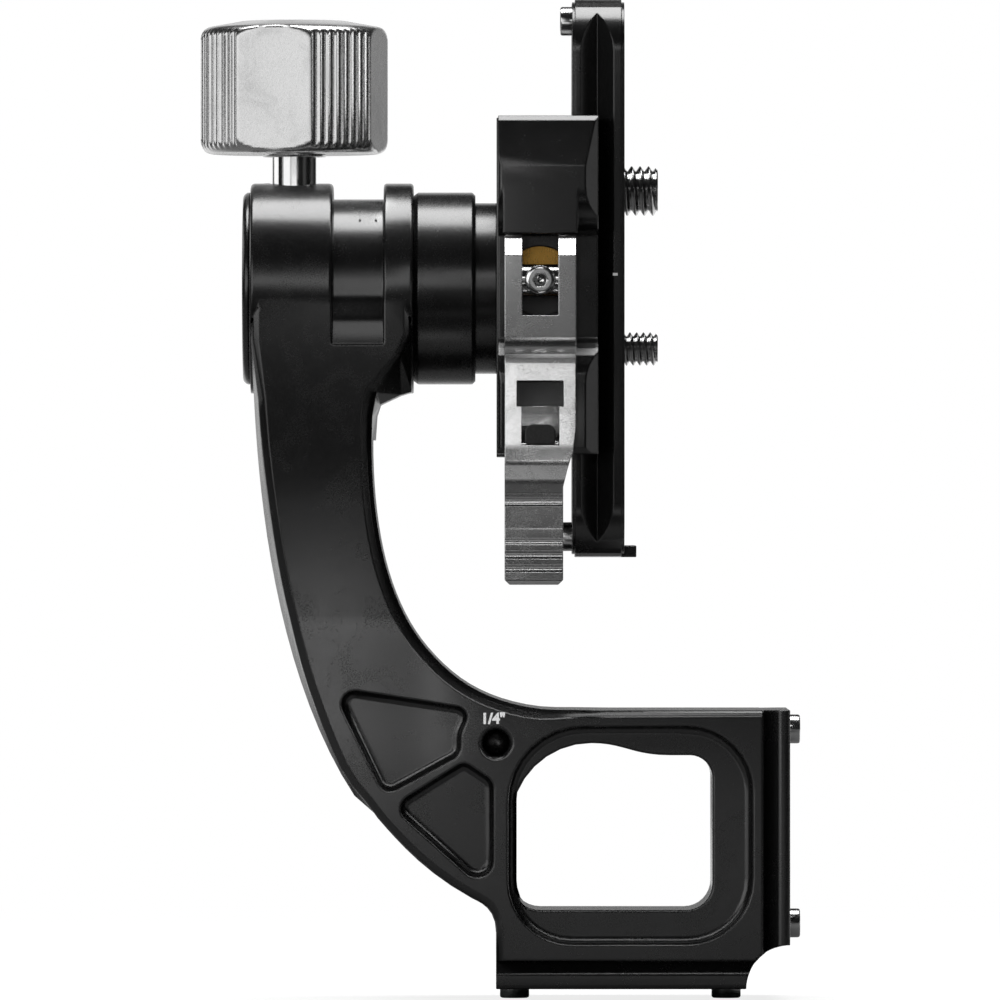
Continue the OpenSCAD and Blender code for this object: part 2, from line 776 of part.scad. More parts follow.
// Turned blank of the knob, with a boss below and a slightly domed top
knob_z0 = tilt_axis_h + barrel_r + knob_gap;
knob_boss_r = knob_r / 3;
knob_boss_h = 0.5;
knob_crown_h = 1.5;
knob_crown_r = knob_r * 0.53;
knob_edge_r = knob_r * 0.155;
knob_turn = 12.7;
module knob_blank() {
    translate([knob_x, 0, knob_z0]) rotate_extrude() polygon(concat(
        [[0, 0], [knob_boss_r, 0], [knob_boss_r, knob_boss_h]],
        round_corner([0, knob_boss_h], [knob_r, knob_boss_h], [knob_r, knob_h], knob_edge_r),
        round_corner([knob_r, 0], [knob_r, knob_h - knob_crown_h], [knob_crown_r, knob_h], knob_edge_r),
        [[knob_crown_r, knob_h], [0, knob_h]]
    ));
}

// One round groove, standing on its own axis
module knurl_groove() {
    translate([knob_r + knurl_d * 0.6, 0, 0]) cylinder(h = knob_h, r = knurl_d * 1.6, $fn = 16);
}

module draw_lock_knob() {
    color("#b4b7bb") difference() {
        knob_blank();
        translate([knob_x, 0, knob_z0]) {
            for (k = [0 : 3]) rotate([0, 0, k * 90 - knob_turn])
                translate([flat_reach, -knob_r, 0]) cube([knob_r, knob_r * 2, knob_h]);
            for (k = [0 : 3]) for (i = [0 : knurl_n - 1])
                rotate([0, 0, (k + 0.5) * 90 - knob_turn + (i - (knurl_n - 1) / 2) * knurl_pitch])
                    knurl_groove();
            translate([0, 0, -over]) cylinder(h = knob_h / 2 + over, r = stem_r + seat_fit);
        }
    }
}

module place_mount_screws() {
    for (y = [-1, 1]) for (z = [-1, 1])
        translate([clamp_x0 + mount_floor_t, y * mount_pitch, tilt_axis_h + z * mount_pitch])
            rotate([0, 90, 0]) children();
}

// Section of one jaw's hook on the back side, [X, Y]
function hook_points(reach) = [
    [floor_x, plate_half + clamp_play], [plate_x0 + plate_lip_t + flank_play, plate_half + clamp_play],
    [floor_x + hook_tip, plate_half + clamp_play + plate_lip_t + flank_play + clamp_play - hook_tip],
    [jaw_x1, plate_half + clamp_play + plate_lip_t + flank_play + 2 * clamp_play - hook_tip + part_gap],
    [jaw_x1, reach - jaw_bevel], [jaw_x1 - jaw_bevel, reach]
];

module clamp_base() {
    z0 = tilt_axis_h - clamp_l / 2;
    difference() {
        translate([0, 0, z0]) linear_extrude(clamp_l) polygon(concat(
            [[clamp_x0, -floor_front], [floor_x, -floor_front]],
            hook_points(fixed_jaw_reach),
            [[clamp_x0 + jaw_bevel, fixed_jaw_reach], [clamp_x0, fixed_jaw_reach - jaw_bevel]]
        ));
        place_mount_screws() {
            translate([0, 0, -mount_floor_t - over]) cylinder(h = clamp_floor_t, r = mount_r + run_fit);
            cylinder(h = clamp_floor_t, r = mount_head_r + part_gap);
        }
        along_y(-floor_front - over, floor_front + over + tie_end, m3_shank_r + seat_fit, lever_x, pivot_z);
        for (s = [-1, 1]) {
            along_y(-floor_front - over, floor_front + over + guide_in, guide_r + seat_fit, clamp_mid_x,
                tilt_axis_h + s * guide_z);
            along_y(-floor_front - over, spring_hole_d + over, spring_r + part_gap, clamp_mid_x,
                tilt_axis_h + s * guide_z);
        }
    }
}

module draw_clamp_base() {
    color("#1b1b1d") clamp_base();
}

module draw_clamp_mount_screws() {
    color("#c3c6ca") place_mount_screws()
        cap_screw(mount_head_r, mount_head_h, mount_r, mount_floor_t + mount_thread_l, mount_hex_r);
}

module draw_jaw_guide_pins() {
    color("#cfd2d6") for (s = [-1, 1])
        along_y(-pocket_y - guide_r, pocket_y + guide_r + guide_in, guide_r, clamp_mid_x,
            tilt_axis_h + s * guide_z);
}

module draw_jaw_springs() {
    color("#a5a8ac") for (s = [-1, 1]) difference() {
        along_y(-jaw_back - spring_hole_d, 2 * spring_hole_d + part_gap, spring_r, clamp_mid_x,
            tilt_axis_h + s * guide_z);
        along_y(-jaw_back - spring_hole_d - over, 3 * spring_hole_d, spring_r - spring_wire, clamp_mid_x,
            tilt_axis_h + s * guide_z);
    }
}

// Side profile of the moving jaw, [distance from the middle, height over the tilt axis]
module jaw_profile() {
    half = clamp_l / 2;
    bend = 75;
    upper_z = pocket_half + jaw_shoulder_r * 1.05;
    polygon(concat(
        [[jaw_back, -half + jaw_short], [jaw_back, half], [moving_jaw_reach - facet_d - jaw_edge, half],
            [moving_jaw_reach - facet_d, half - jaw_edge], [moving_jaw_reach, half - facet_h]],
        [for (i = [0 : 6]) [moving_jaw_reach - jaw_shoulder_r * (1 - cos(i * bend / 6)),
            upper_z - jaw_shoulder_r * sin(i * bend / 6)]],
        [[pocket_y, pocket_half], [pocket_y, -pocket_half]],
        [for (i = [6 : -1 : 0]) [moving_jaw_reach - jaw_shoulder_r * (1 - cos(i * bend / 6)),
            -pocket_half - jaw_shoulder_r + jaw_shoulder_r * sin(i * bend / 6)]],
        [[moving_jaw_reach, -half + jaw_short + jaw_edge], [moving_jaw_reach - jaw_edge, -half + jaw_short]]
    ));
}

module clamp_jaw() {
    half = clamp_l / 2;
    hooks = hook_points(moving_jaw_reach);
    difference() {
        intersection() {
            translate([0, 0, tilt_axis_h - half]) linear_extrude(clamp_l) mirror([0, 1]) polygon(concat(
                [[floor_x - jaw_base_w, jaw_back], [floor_x - part_gap, jaw_back],
                    [floor_x - part_gap, plate_half + clamp_play]],
                hooks,
                [[floor_x - jaw_base_w + jaw_edge / 2, moving_jaw_reach],
                    [floor_x - jaw_base_w, moving_jaw_reach - jaw_edge / 2]]
            ));
            union() {
                translate([clamp_x0, 0, tilt_axis_h]) rotate([90, 0, 90])
                    linear_extrude(jaw_x1 - clamp_x0 + over) mirror([1, 0]) jaw_profile();
                translate([lever_x - tongue_w / 2, -moving_jaw_reach, pivot_z + fork_top + part_gap])
                    cube([tongue_w, moving_jaw_reach - pocket_y + over, tongue_h]);
            }
        }
        along_y(-moving_jaw_reach, moving_jaw_reach, m3_shank_r + run_fit, lever_x, pivot_z);
        along_y(-pocket_y - cam_r, cam_r + seat_t / 2, seat_r + seat_fit, lever_x, pivot_z);
        for (s = [-1, 1]) {
            along_y(-pocket_y - 2 * guide_r - jaw_travel, pocket_y, guide_r + run_fit, clamp_mid_x,
                tilt_axis_h + s * guide_z);
            along_y(-jaw_back - spring_hole_d, spring_hole_d + over, spring_r + part_gap, clamp_mid_x,
                tilt_axis_h + s * guide_z);
        }
    }
}

module draw_clamp_jaw() {
    color("#1f1f21") clamp_jaw();
}

// Brass thrust washer with a dished face
module draw_cam_seat() {
    color("#c8922b") difference() {
        along_y(-seat_y, seat_t, seat_r, lever_x, pivot_z);
        along_y(-seat_y - over, seat_t + 2 * over, m3_shank_r + run_fit, lever_x, pivot_z);
    }
}

module draw_tie_screw() {
    color("#cfd2d6") translate([lever_x, tie_seat_y, pivot_z]) rotate([90, 0, 0])
        cap_screw(m3_head_r, tie_head_h, m3_shank_r, tie_end - over - tie_seat_y, m3_socket_r);
}

module draw_lever_trunnion() {
    color("#dfe1e4") difference() {
        along_x(lever_x - trunnion_l / 2, trunnion_l, trunnion_r, pivot_z, pivot_y);
        along_y(pivot_y - 2 * trunnion_r, 4 * trunnion_r, m3_shank_r + seat_fit, lever_x, pivot_z);
        along_y(tie_seat_y - trunnion_r, trunnion_r, m3_head_r + seat_fit, lever_x, pivot_z);
    }
}

// Side of the lever: [towards the jaw from the pivot, upwards from the pivot]
module lever_profile() {
    intersection() {
        translate([cam_throw, -cam_throw]) circle(r = cam_r);
        polygon([
            [-lever_front, -2 * cam_r], [-lever_front, fork_top - fork_facet],
            [-lever_front + fork_facet, fork_top], [2 * cam_r, fork_top], [2 * cam_r, -2 * cam_r]
        ]);
    }
    polygon([for (s = lever_side_shares) [-s[0] * lever_front, -s[1] * lever_l]]);
}

// Front of the lever, [across, upwards from the pivot]
module lever_outline() {
    half = lever_w / 2;
    polygon(concat(
        [[-half, 2 * fork_top], [-half, -lever_l + tab_corner], [-half + tab_corner, -lever_l],
            [half - tab_inset - tab_corner, -lever_l], [half - tab_inset, -lever_l + tab_corner]],
        [for (s = waist_shares) [half - s[0] * tab_inset, -s[1] * lever_l]],
        [[half, 2 * fork_top]]
    ));
}

module clamp_lever() {
    translate([lever_x, pivot_y, pivot_z]) difference() {
        intersection() {
            translate([-lever_w / 2, 0, 0]) rotate([90, 0, 90]) linear_extrude(lever_w) lever_profile();
            translate([0, cam_r * 3, 0]) rotate([90, 0, 0]) linear_extrude(cam_r * 6) lever_outline();
        }
        translate([-fork_slot_w / 2, -cam_r * 2, -fork_slot_d]) cube([fork_slot_w, cam_r * 4, cam_r * 2]);
        rotate([0, 90, 0]) cylinder(h = lever_w + over, r = trunnion_r + run_fit, center = true);
        translate([-latch_w / 2, -cam_r, lock_high]) cube([latch_w, cam_r, latch_high - lock_high]);
        translate([-lock_w / 2, -cam_r * 2 - lock_floor, lock_low])
            cube([lock_w, cam_r * 2, lock_high - lock_low + over]);
        translate([0, -lock_floor, lock_low + over])
            cylinder(h = lock_high - lock_low - 2 * over, r = lock_spring_r + run_fit);
        for (i = [0 : ridge_n - 1])
            translate([0, -lever_front - ridge_r + ridge_sink, -lever_l + ridge_first + i * ridge_pitch])
                rotate([0, 90, 0]) cylinder(h = lever_w + over, r = ridge_r, center = true, $fn = 24);
    }
}

module draw_clamp_lever() {
    color("#c9ccd0") clamp_lever();
}

module draw_lock_slider() {
    body_t = slider_t - run_fit;
    full_l = lock_high - lock_low - part_gap;
    color("#d5d8db") translate([lever_x, pivot_y - lock_floor - slider_t, pivot_z + lock_low + part_gap]) {
        translate([-button_w / 2, 0, 0]) cube([button_w, body_t, button_h]);
        translate([-slider_stem_w / 2, 0, 0]) cube([slider_stem_w, body_t, full_l]);
        for (s = [-1, 1])
            translate([s * (prong_gap + prong_w) / 2 - prong_w / 2, 0, 0])
                cube([prong_w, body_t, full_l - part_gap]);
    }
}

module draw_lock_button() {
    half = [button_w / 2, button_h / 2];
    color("#4a4b4e")
        translate([lever_x, pivot_y - lock_floor - slider_t, pivot_z + lock_low + part_gap + half[1]])
        rotate([90, 0, 0]) linear_extrude(button_t) polygon(rounded(
            [-half, [half[0], -half[1]], half, [-half[0], half[1]]],
            button_corner_r * button_corner_shares
        ));
}

module draw_lock_spring() {
    spring_l = lock_high - lock_low - 4 * over;
    color("#a5a8ac") translate([lever_x, pivot_y - lock_floor, pivot_z + lock_low + 2 * over])
        intersection() {
            cylinder(h = spring_l, r = lock_spring_r);
            translate([-lock_spring_r, run_fit, 0]) cube([2 * lock_spring_r, lock_spring_r, spring_l]);
        }
}

// Plate seen along X: the outline, with rounded corners
module plate_outline(inset_by) {
    r = plate_corner_r - inset_by;
    polygon(rounded(
        [[-plate_half + inset_by, plate_z0 + inset_by], [plate_half - inset_by, plate_z0 + inset_by],
            [plate_half - inset_by, plate_z1 - inset_by], [-plate_half + inset_by, plate_z1 - inset_by]],
        [r, r, r, r]
    ));
}

module upright(x0, t) {
    translate([x0, 0, 0]) rotate([90, 0, 90]) linear_extrude(t) children();
}

// A hole along X from the plate's underside, with its round ends at the ends of the slot
module long_hole(depth, half) {
    reach = slot_l / 2 - slot_half;
    for (s = [-1, 1]) along_x(plate_x0 - over, depth, half, plate_mid_z + s * reach);
    translate([plate_x0 - over, -half, plate_mid_z - reach]) cube([depth, 2 * half, 2 * reach]);
}

module lens_plate() {
    groove_x = plate_x0 + plate_lip_t;
    difference() {
        union() {
            upright(plate_x0, plate_edge / 2) plate_outline(plate_edge / 2);
            upright(plate_x0 + plate_edge / 2, plate_t - plate_edge) plate_outline(0);
            upright(plate_x1 - plate_edge / 2, plate_edge / 2) plate_outline(plate_edge / 2);
        }
        for (s = [-1, 1]) translate([0, 0, plate_z0 - over]) linear_extrude(plate_l + 2 * over) polygon([
            [groove_x - over, s * (plate_half + over)],
            [groove_x + plate_groove_d, s * (plate_half - plate_groove_d)],
            [groove_x + 2 * plate_groove_d + over, s * (plate_half + over)]
        ]);
        long_hole(plate_t + 2 * over, slot_half);
        long_hole(slot_depth + over, recess_half);
        place_plate_screws() m3_hole();
        translate([plate_x1 - stop_seat_d, -stop_w / 2 - seat_fit, plate_z0 - over])
            cube([stop_seat_d + over, stop_w + 2 * seat_fit, stop_foot_h + over + seat_fit]);
        place_end_stop_screws() {
            translate([0, 0, -plate_t]) cylinder(h = plate_t * 2, r = stop_screw_r + seat_fit);
            cylinder(h = plate_t, r = stop_screw_head_r + part_gap);
        }
    }
}

module place_plate_screws() {
    for (z = [plate_z0 + plate_screw_inset, plate_z1 - plate_screw_inset])
        translate([plate_x0 + spot_d, 0, z]) rotate([0, -90, 0]) children();
}

module place_end_stop_screws() {
    for (y = [-1, 1]) translate([plate_x0 + stop_screw_d, y * stop_screw_gap / 2, plate_z0 + stop_screw_h])
        rotate([0, -90, 0]) children();
}

module draw_lens_plate() {
    color("#17171a") lens_plate();
}

module draw_plate_end_stop() {
    color("#17171a") difference() {
        union() {
            translate([plate_x1 - stop_seat_d, -stop_w / 2, plate_z0])
                cube([stop_seat_d, stop_w, stop_foot_h]);
            translate([plate_x1 - stop_seat_d, -stop_w / 2, plate_z0])
                cube([stop_seat_d + stop_t, stop_w, stop_h]);
        }
        place_end_stop_screws() cylinder(h = plate_t * 2, r = stop_screw_r + seat_fit, center = true);
    }
}

module draw_end_stop_screws() {
    color("#c3c6ca") place_end_stop_screws()
        cap_screw(stop_screw_head_r, stop_screw_head_h, stop_screw_r, plate_t - stop_screw_d - over,
            stop_screw_r * 0.7);
}

module draw_plate_stop_screws() {
    color("#c3c6ca") place_plate_screws() m3_screw();
}

// A camera stud with its head under the web, its neck in the slot and its end over the plate
module stud(r, z) {
    head_x = web_x - stud_washer_t - stud_head_h - 2 * run_fit;
    difference() {
        union() {
            along_x(head_x, stud_head_h, stud_head_r, z);
            along_x(head_x, plate_x1 - head_x, stud_neck_r, z);
            along_x(plate_x1, stud_h, r, z);
        }
        translate([head_x - over, 0, z]) rotate([0, 90, 0])
            cylinder(h = stud_head_h, r = stud_hex_r, $fn = 6);
    }
}

module stud_washer(z) {
    difference() {
        along_x(web_x - stud_washer_t - run_fit, stud_washer_t, stud_head_r, z);
        along_x(web_x - 2 * stud_washer_t, 3 * stud_washer_t, stud_neck_r + run_fit, z);
    }
}

module draw_stud_large() {
    color("#c3c6ca") stud(stud_large_r, stud_large_z);
}

module draw_stud_large_washer() {
    color("#8f9296") stud_washer(stud_large_z);
}

module draw_stud_small() {
    color("#c3c6ca") stud(stud_small_r, stud_small_z);
}

module draw_stud_small_washer() {
    color("#8f9296") stud_washer(stud_small_z);
}

draw_frame_arm();  // frame_arm
draw_end_cap();  // end_cap
draw_bearing_outer_races();  // bearing_outer_races
draw_bearing_balls();  // bearing_balls
draw_bearing_inner_races();  // bearing_inner_races
draw_bearing_spacer();  // bearing_spacer
draw_tilt_hub();  // tilt_hub
draw_brake_drum();  // brake_drum
draw_drum_screw();  // drum_screw
draw_base_stop_screws();  // base_stop_screws
draw_side_stop_screws();  // side_stop_screws
draw_brake_pad();  // brake_pad
draw_knob_stem();  // knob_stem
draw_lock_knob();  // lock_knob
draw_clamp_base();  // clamp_base
draw_clamp_mount_screws();  // clamp_mount_screws
draw_jaw_guide_pins();  // jaw_guide_pins
draw_jaw_springs();  // jaw_springs
draw_clamp_jaw();  // clamp_jaw
draw_cam_seat();  // cam_seat
draw_tie_screw();  // tie_screw
draw_lever_trunnion();  // lever_trunnion
draw_clamp_lever();  // clamp_lever
draw_lock_slider();  // lock_slider
draw_lock_button();  // lock_button
draw_lock_spring();  // lock_spring
draw_lens_plate();  // lens_plate
draw_plate_end_stop();  // plate_end_stop
draw_end_stop_screws();  // end_stop_screws
draw_plate_stop_screws();  // plate_stop_screws
draw_stud_large();  // stud_large
draw_stud_large_washer();  // stud_large_washer
draw_stud_small();  // stud_small
draw_stud_small_washer();  // stud_small_washer
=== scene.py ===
import bpy
import bmesh
import json
import math
from math import radians
from mathutils import Matrix, Vector
from mathutils.bvhtree import BVHTree


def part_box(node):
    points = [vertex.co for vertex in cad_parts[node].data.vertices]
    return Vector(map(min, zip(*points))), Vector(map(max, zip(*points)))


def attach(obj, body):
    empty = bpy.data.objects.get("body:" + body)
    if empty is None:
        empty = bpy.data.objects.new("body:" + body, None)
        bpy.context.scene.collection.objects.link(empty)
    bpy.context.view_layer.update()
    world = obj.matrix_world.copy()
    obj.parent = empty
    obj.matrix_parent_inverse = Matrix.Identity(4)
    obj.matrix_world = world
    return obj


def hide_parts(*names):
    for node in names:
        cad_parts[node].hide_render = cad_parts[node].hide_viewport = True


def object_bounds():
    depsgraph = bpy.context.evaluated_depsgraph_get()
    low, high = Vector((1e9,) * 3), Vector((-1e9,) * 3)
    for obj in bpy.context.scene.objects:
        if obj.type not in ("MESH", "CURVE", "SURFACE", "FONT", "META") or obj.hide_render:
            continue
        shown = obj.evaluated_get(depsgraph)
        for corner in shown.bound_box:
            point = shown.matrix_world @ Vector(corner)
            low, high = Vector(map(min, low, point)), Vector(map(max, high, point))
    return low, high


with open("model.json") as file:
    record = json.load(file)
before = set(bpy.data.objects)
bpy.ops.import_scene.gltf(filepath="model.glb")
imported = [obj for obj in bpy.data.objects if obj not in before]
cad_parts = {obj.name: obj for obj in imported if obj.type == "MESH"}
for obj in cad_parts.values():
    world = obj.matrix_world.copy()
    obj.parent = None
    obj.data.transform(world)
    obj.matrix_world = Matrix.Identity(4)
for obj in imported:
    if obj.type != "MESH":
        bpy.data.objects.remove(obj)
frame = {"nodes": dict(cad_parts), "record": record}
cad_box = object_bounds()
MM = 0.001
MICRON = 0.000001
BODY_OF = {
    node: body
    for body, nodes in frame["record"]["behaviour"]["bodies"].items()
    for node in nodes
}

# Places on the arm: its tilt axis and faces in metres, its hole and channel in millimetres
TILT_Z = 131.6 * MM
ARM_FACE = 19.5 * MM
HOLE_X, HOLE_Z = -23.45, 46.13
GROOVE_MIDDLE = -49.35


# Numbers wired through node trees

class Wire:
    """A number inside a node tree, so that a formula can be written as one."""

    def __init__(self, tree, socket):
        self.tree = tree
        self.socket = socket

    def op(self, kind, *others):
        node = self.tree.nodes.new("ShaderNodeMath")
        node.operation = kind
        for slot, value in zip(node.inputs, (self,) + others):
            feed(self.tree, slot, value)
        return Wire(self.tree, node.outputs[0])

    def __add__(self, other):
        return self.op("ADD", other)

    def __radd__(self, other):
        return self.op("ADD", other)

    def __sub__(self, other):
        return self.op("SUBTRACT", other)

    def __rsub__(self, other):
        return (self * -1).op("ADD", other)

    def __mul__(self, other):
        return self.op("MULTIPLY", other)

    def __rmul__(self, other):
        return self.op("MULTIPLY", other)

    def __truediv__(self, other):
        return self.op("DIVIDE", other)

    def __rtruediv__(self, other):
        return self.op("POWER", -1.0) * other


def feed(tree, slot, value):
    """Gives a socket a wire, another socket or a plain value."""
    if isinstance(value, Wire):
        tree.links.new(value.socket, slot)
    elif isinstance(value, bpy.types.NodeSocket):
        tree.links.new(value, slot)
    else:
        slot.default_value = value


def add(tree, kind, settings=None, **inputs):
    """Puts a node in a tree. An input's name has underscores for its spaces."""
    node = tree.nodes.new(kind)
    for name, value in (settings or {}).items():
        setattr(node, name, value)
    for name, value in inputs.items():
        feed(tree, node.inputs[name.replace("_", " ")], value)
    return node


def between(tree, value, low, high, to_low=0.0, to_high=1.0):
    """Carries a number from one range smoothly to another."""
    node = tree.nodes.new("ShaderNodeMapRange")
    node.interpolation_type = "SMOOTHSTEP"
    for slot, number in zip(node.inputs, (value, low, high, to_low, to_high)):
        feed(tree, slot, number)
    return Wire(tree, node.outputs[0])


def blended(tree, share, first, second):
    """Mixes two colours."""
    node = tree.nodes.new("ShaderNodeMix")
    node.data_type = "RGBA"
    feed(tree, node.inputs[0], share)
    feed(tree, node.inputs[6], first)
    feed(tree, node.inputs[7], second)
    return node.outputs[2]


# Surface effects that several finishes share

def effect(name, inputs, outputs, directions=()):
    """An empty effect group with its sockets, its input wires and its end."""
    tree = bpy.data.node_groups.new(name, "ShaderNodeTree")
    for title, value in inputs.items():
        socket = tree.interface.new_socket(title, in_out="INPUT", socket_type="NodeSocketFloat")
        socket.default_value = value
    for title in outputs:
        tree.interface.new_socket(title, in_out="OUTPUT", socket_type="NodeSocketFloat")
    for title in directions:
        tree.interface.new_socket(title, in_out="OUTPUT", socket_type="NodeSocketVector")
    start = tree.nodes.new("NodeGroupInput")
    end = tree.nodes.new("NodeGroupOutput")
    wires = {title: Wire(tree, start.outputs[title]) for title in inputs}
    return tree, wires, end


def make_blasted_grain():
    """The even, matt grain of blasted aluminium, with slow clouds in its shade."""
    tree, given, end = effect(
        "blasted_grain", {"Grain size": 0.25, "Cloud size": 18.0}, ["Shade", "Height", "Cloud"])
    place = add(tree, "ShaderNodeTexCoord").outputs["Object"]
    fine = add(tree, "ShaderNodeTexNoise", Vector=place, Scale=1000.0 / given["Grain size"], Detail=3.0,
               Roughness=0.7)
    pits = add(tree, "ShaderNodeTexVoronoi", Vector=place, Scale=640.0 / given["Grain size"])
    cloud = add(tree, "ShaderNodeTexNoise", Vector=place, Scale=1000.0 / given["Cloud size"], Detail=4.0,
                Roughness=0.55)
    grain = Wire(tree, fine.outputs[0])
    dents = Wire(tree, pits.outputs["Distance"])
    feed(tree, end.inputs["Shade"], between(tree, grain * 0.65 + dents * 0.35, 0.3, 0.7))
    feed(tree, end.inputs["Height"], grain * 0.6 + dents * 0.4)
    feed(tree, end.inputs["Cloud"], between(tree, cloud.outputs[0], 0.32, 0.68))
    return tree


def make_brushed_grain():
    """Fine lines left by turning or brushing, drawn out along one direction."""
    tree, given, end = effect(
        "brushed_grain",
        {"Line width": 0.12, "Across X": 1.0, "Across Y": 1.0, "Across Z": 1.0},
        ["Shade", "Height"])
    place = add(tree, "ShaderNodeTexCoord").outputs["Object"]
    stretch = add(tree, "ShaderNodeCombineXYZ", **{axis: given["Across " + axis] for axis in "XYZ"})
    drawn = add(tree, "ShaderNodeVectorMath", {"operation": "MULTIPLY"})
    feed(tree, drawn.inputs[0], place)
    feed(tree, drawn.inputs[1], stretch.outputs[0])
    lines = add(tree, "ShaderNodeTexNoise", Vector=drawn.outputs[0], Scale=1000.0 / given["Line width"],
                Detail=5.0, Roughness=0.65)
    height = Wire(tree, lines.outputs[0])
    feed(tree, end.inputs["Shade"], between(tree, height, 0.35, 0.65))
    feed(tree, end.inputs["Height"], height)
    return tree


def make_edge_wear():
    """Where hands and cloths have rubbed an edge: a broken mask along corners."""
    tree, given, end = effect(
        "edge_wear", {"Reach": 0.3, "Break size": 1.6, "Amount": 1.0}, ["Mask"], ["Rounded"])
    rounded = add(tree, "ShaderNodeBevel", {"samples": 6}, Radius=given["Reach"] * MM)
    plain = add(tree, "ShaderNodeNewGeometry").outputs["Normal"]
    match = add(tree, "ShaderNodeVectorMath", {"operation": "DOT_PRODUCT"})
    feed(tree, match.inputs[0], rounded.outputs[0])
    feed(tree, match.inputs[1], plain)
    bend = between(tree, 1.0 - Wire(tree, match.outputs["Value"]), 0.01, 0.12)
    place = add(tree, "ShaderNodeTexCoord").outputs["Object"]
    breaks = add(tree, "ShaderNodeTexNoise", Vector=place, Scale=1000.0 / given["Break size"], Detail=4.0,
                 Roughness=0.6)
    broken = between(tree, breaks.outputs[0], 0.38, 0.62, 0.25, 1.0)
    feed(tree, end.inputs["Mask"], bend * broken * given["Amount"])
    feed(tree, end.inputs["Rounded"], rounded.outputs[0])
    return tree


def make_handling():
    """Faint smears and specks from handling, which change the gloss."""
    tree, given, end = effect("handling", {"Smear size": 9.0, "Speck size": 0.5}, ["Smear", "Speck"])
    place = add(tree, "ShaderNodeTexCoord").outputs["Object"]
    smear = add(tree, "ShaderNodeTexNoise", Vector=place, Scale=1000.0 / given["Smear size"], Detail=5.0,
                Roughness=0.6, Distortion=0.8)
    speck = add(tree, "ShaderNodeTexVoronoi", Vector=place, Scale=220.0 / given["Speck size"])
    feed(tree, end.inputs["Smear"], between(tree, smear.outputs[0], 0.42, 0.7))
    feed(tree, end.inputs["Speck"], between(tree, speck.outputs["Distance"], 0.1, 0.02))
    return tree


blasted_grain = make_blasted_grain()
brushed_grain = make_brushed_grain()
edge_wear = make_edge_wear()
handling = make_handling()


# Finishes of the head's metals

def effect_node(tree, group, **inputs):
    node = add(tree, "ShaderNodeGroup", {"node_tree": group}, **inputs)
    return {socket.name: Wire(tree, socket) for socket in node.outputs}


def grey(level, tint=(1.0, 1.0, 1.0)):
    return (level * tint[0], level * tint[1], level * tint[2], 1.0)


def shader_of(name):
    finish = bpy.data.materials.new(name)
    finish.use_nodes = True
    return finish, finish.node_tree, finish.node_tree.nodes["Principled BSDF"]


def raise_grain(tree, shader, strength, depth, height, **base):
    """Gives a finish its fine relief. The depth is in micrometres."""
    bump = add(tree, "ShaderNodeBump", Strength=strength, Distance=depth * MICRON, Height=height, **base)
    feed(tree, shader.inputs["Normal"], bump.outputs[0])


def anodised(name, level=0.007, rough=0.21, grain=0.22, depth=2.0, edge=0.4):
    """Black anodised aluminium over a fine blasted grain, rubbed lighter along its edges."""
    tint = (1.0, 1.0, 1.03)
    finish, tree, shader = shader_of(name)
    surface = effect_node(tree, blasted_grain, Grain_size=grain)
    rubbed = effect_node(tree, edge_wear, Reach=edge, Amount=0.5)
    touched = effect_node(tree, handling)
    dark = blended(tree, surface["Shade"], grey(level * 0.7, tint), grey(level * 1.35, tint))
    clouded = blended(tree, surface["Cloud"] * 0.35, dark, grey(level * 1.7, tint))
    dusted = blended(tree, touched["Speck"] * 0.02, clouded, grey(0.12))
    feed(tree, shader.inputs["Base Color"], blended(tree, rubbed["Mask"] * 0.3, dusted, grey(0.06)))
    feed(tree, shader.inputs["Roughness"],
         rough + surface["Shade"] * 0.05 + touched["Smear"] * 0.04 - rubbed["Mask"] * 0.04)
    shader.inputs["Metallic"].default_value = 0.0
    shader.inputs["Specular IOR Level"].default_value = 1.0
    raise_grain(tree, shader, 0.5, depth, surface["Height"], Normal=rubbed["Rounded"])
    return finish


def silver(name, level=0.62, rough=0.2, line=0.12, across=(1.0, 1.0, 0.04), wear=0.5,
           tint=(1.0, 1.0, 1.0), depth=3.0, edge=0.2):
    """Bare or clear anodised metal with drawn lines and a finer blasted grain under them."""
    finish, tree, shader = shader_of(name)
    lines = effect_node(tree, brushed_grain, Line_width=line,
                        Across_X=across[0], Across_Y=across[1], Across_Z=across[2])
    surface = effect_node(tree, blasted_grain, Grain_size=0.16, Cloud_size=12.0)
    rubbed = effect_node(tree, edge_wear, Reach=edge, Amount=wear)
    touched = effect_node(tree, handling, Smear_size=7.0)
    base = blended(tree, lines["Shade"], grey(level * 0.94, tint), grey(level * 1.04, tint))
    clouded = blended(tree, surface["Cloud"] * 0.3, base, grey(level * 0.86, tint))
    feed(tree, shader.inputs["Base Color"],
         blended(tree, rubbed["Mask"] * 0.6, clouded, grey(min(level * 1.3, 0.93), tint)))
    feed(tree, shader.inputs["Roughness"],
         rough + lines["Shade"] * 0.06 + surface["Shade"] * 0.04 + touched["Smear"] * 0.05)
    shader.inputs["Metallic"].default_value = 1.0
    relief = lines["Height"] * 0.45 + surface["Height"] * 0.55
    raise_grain(tree, shader, 0.5, depth, relief, Normal=rubbed["Rounded"])
    return finish


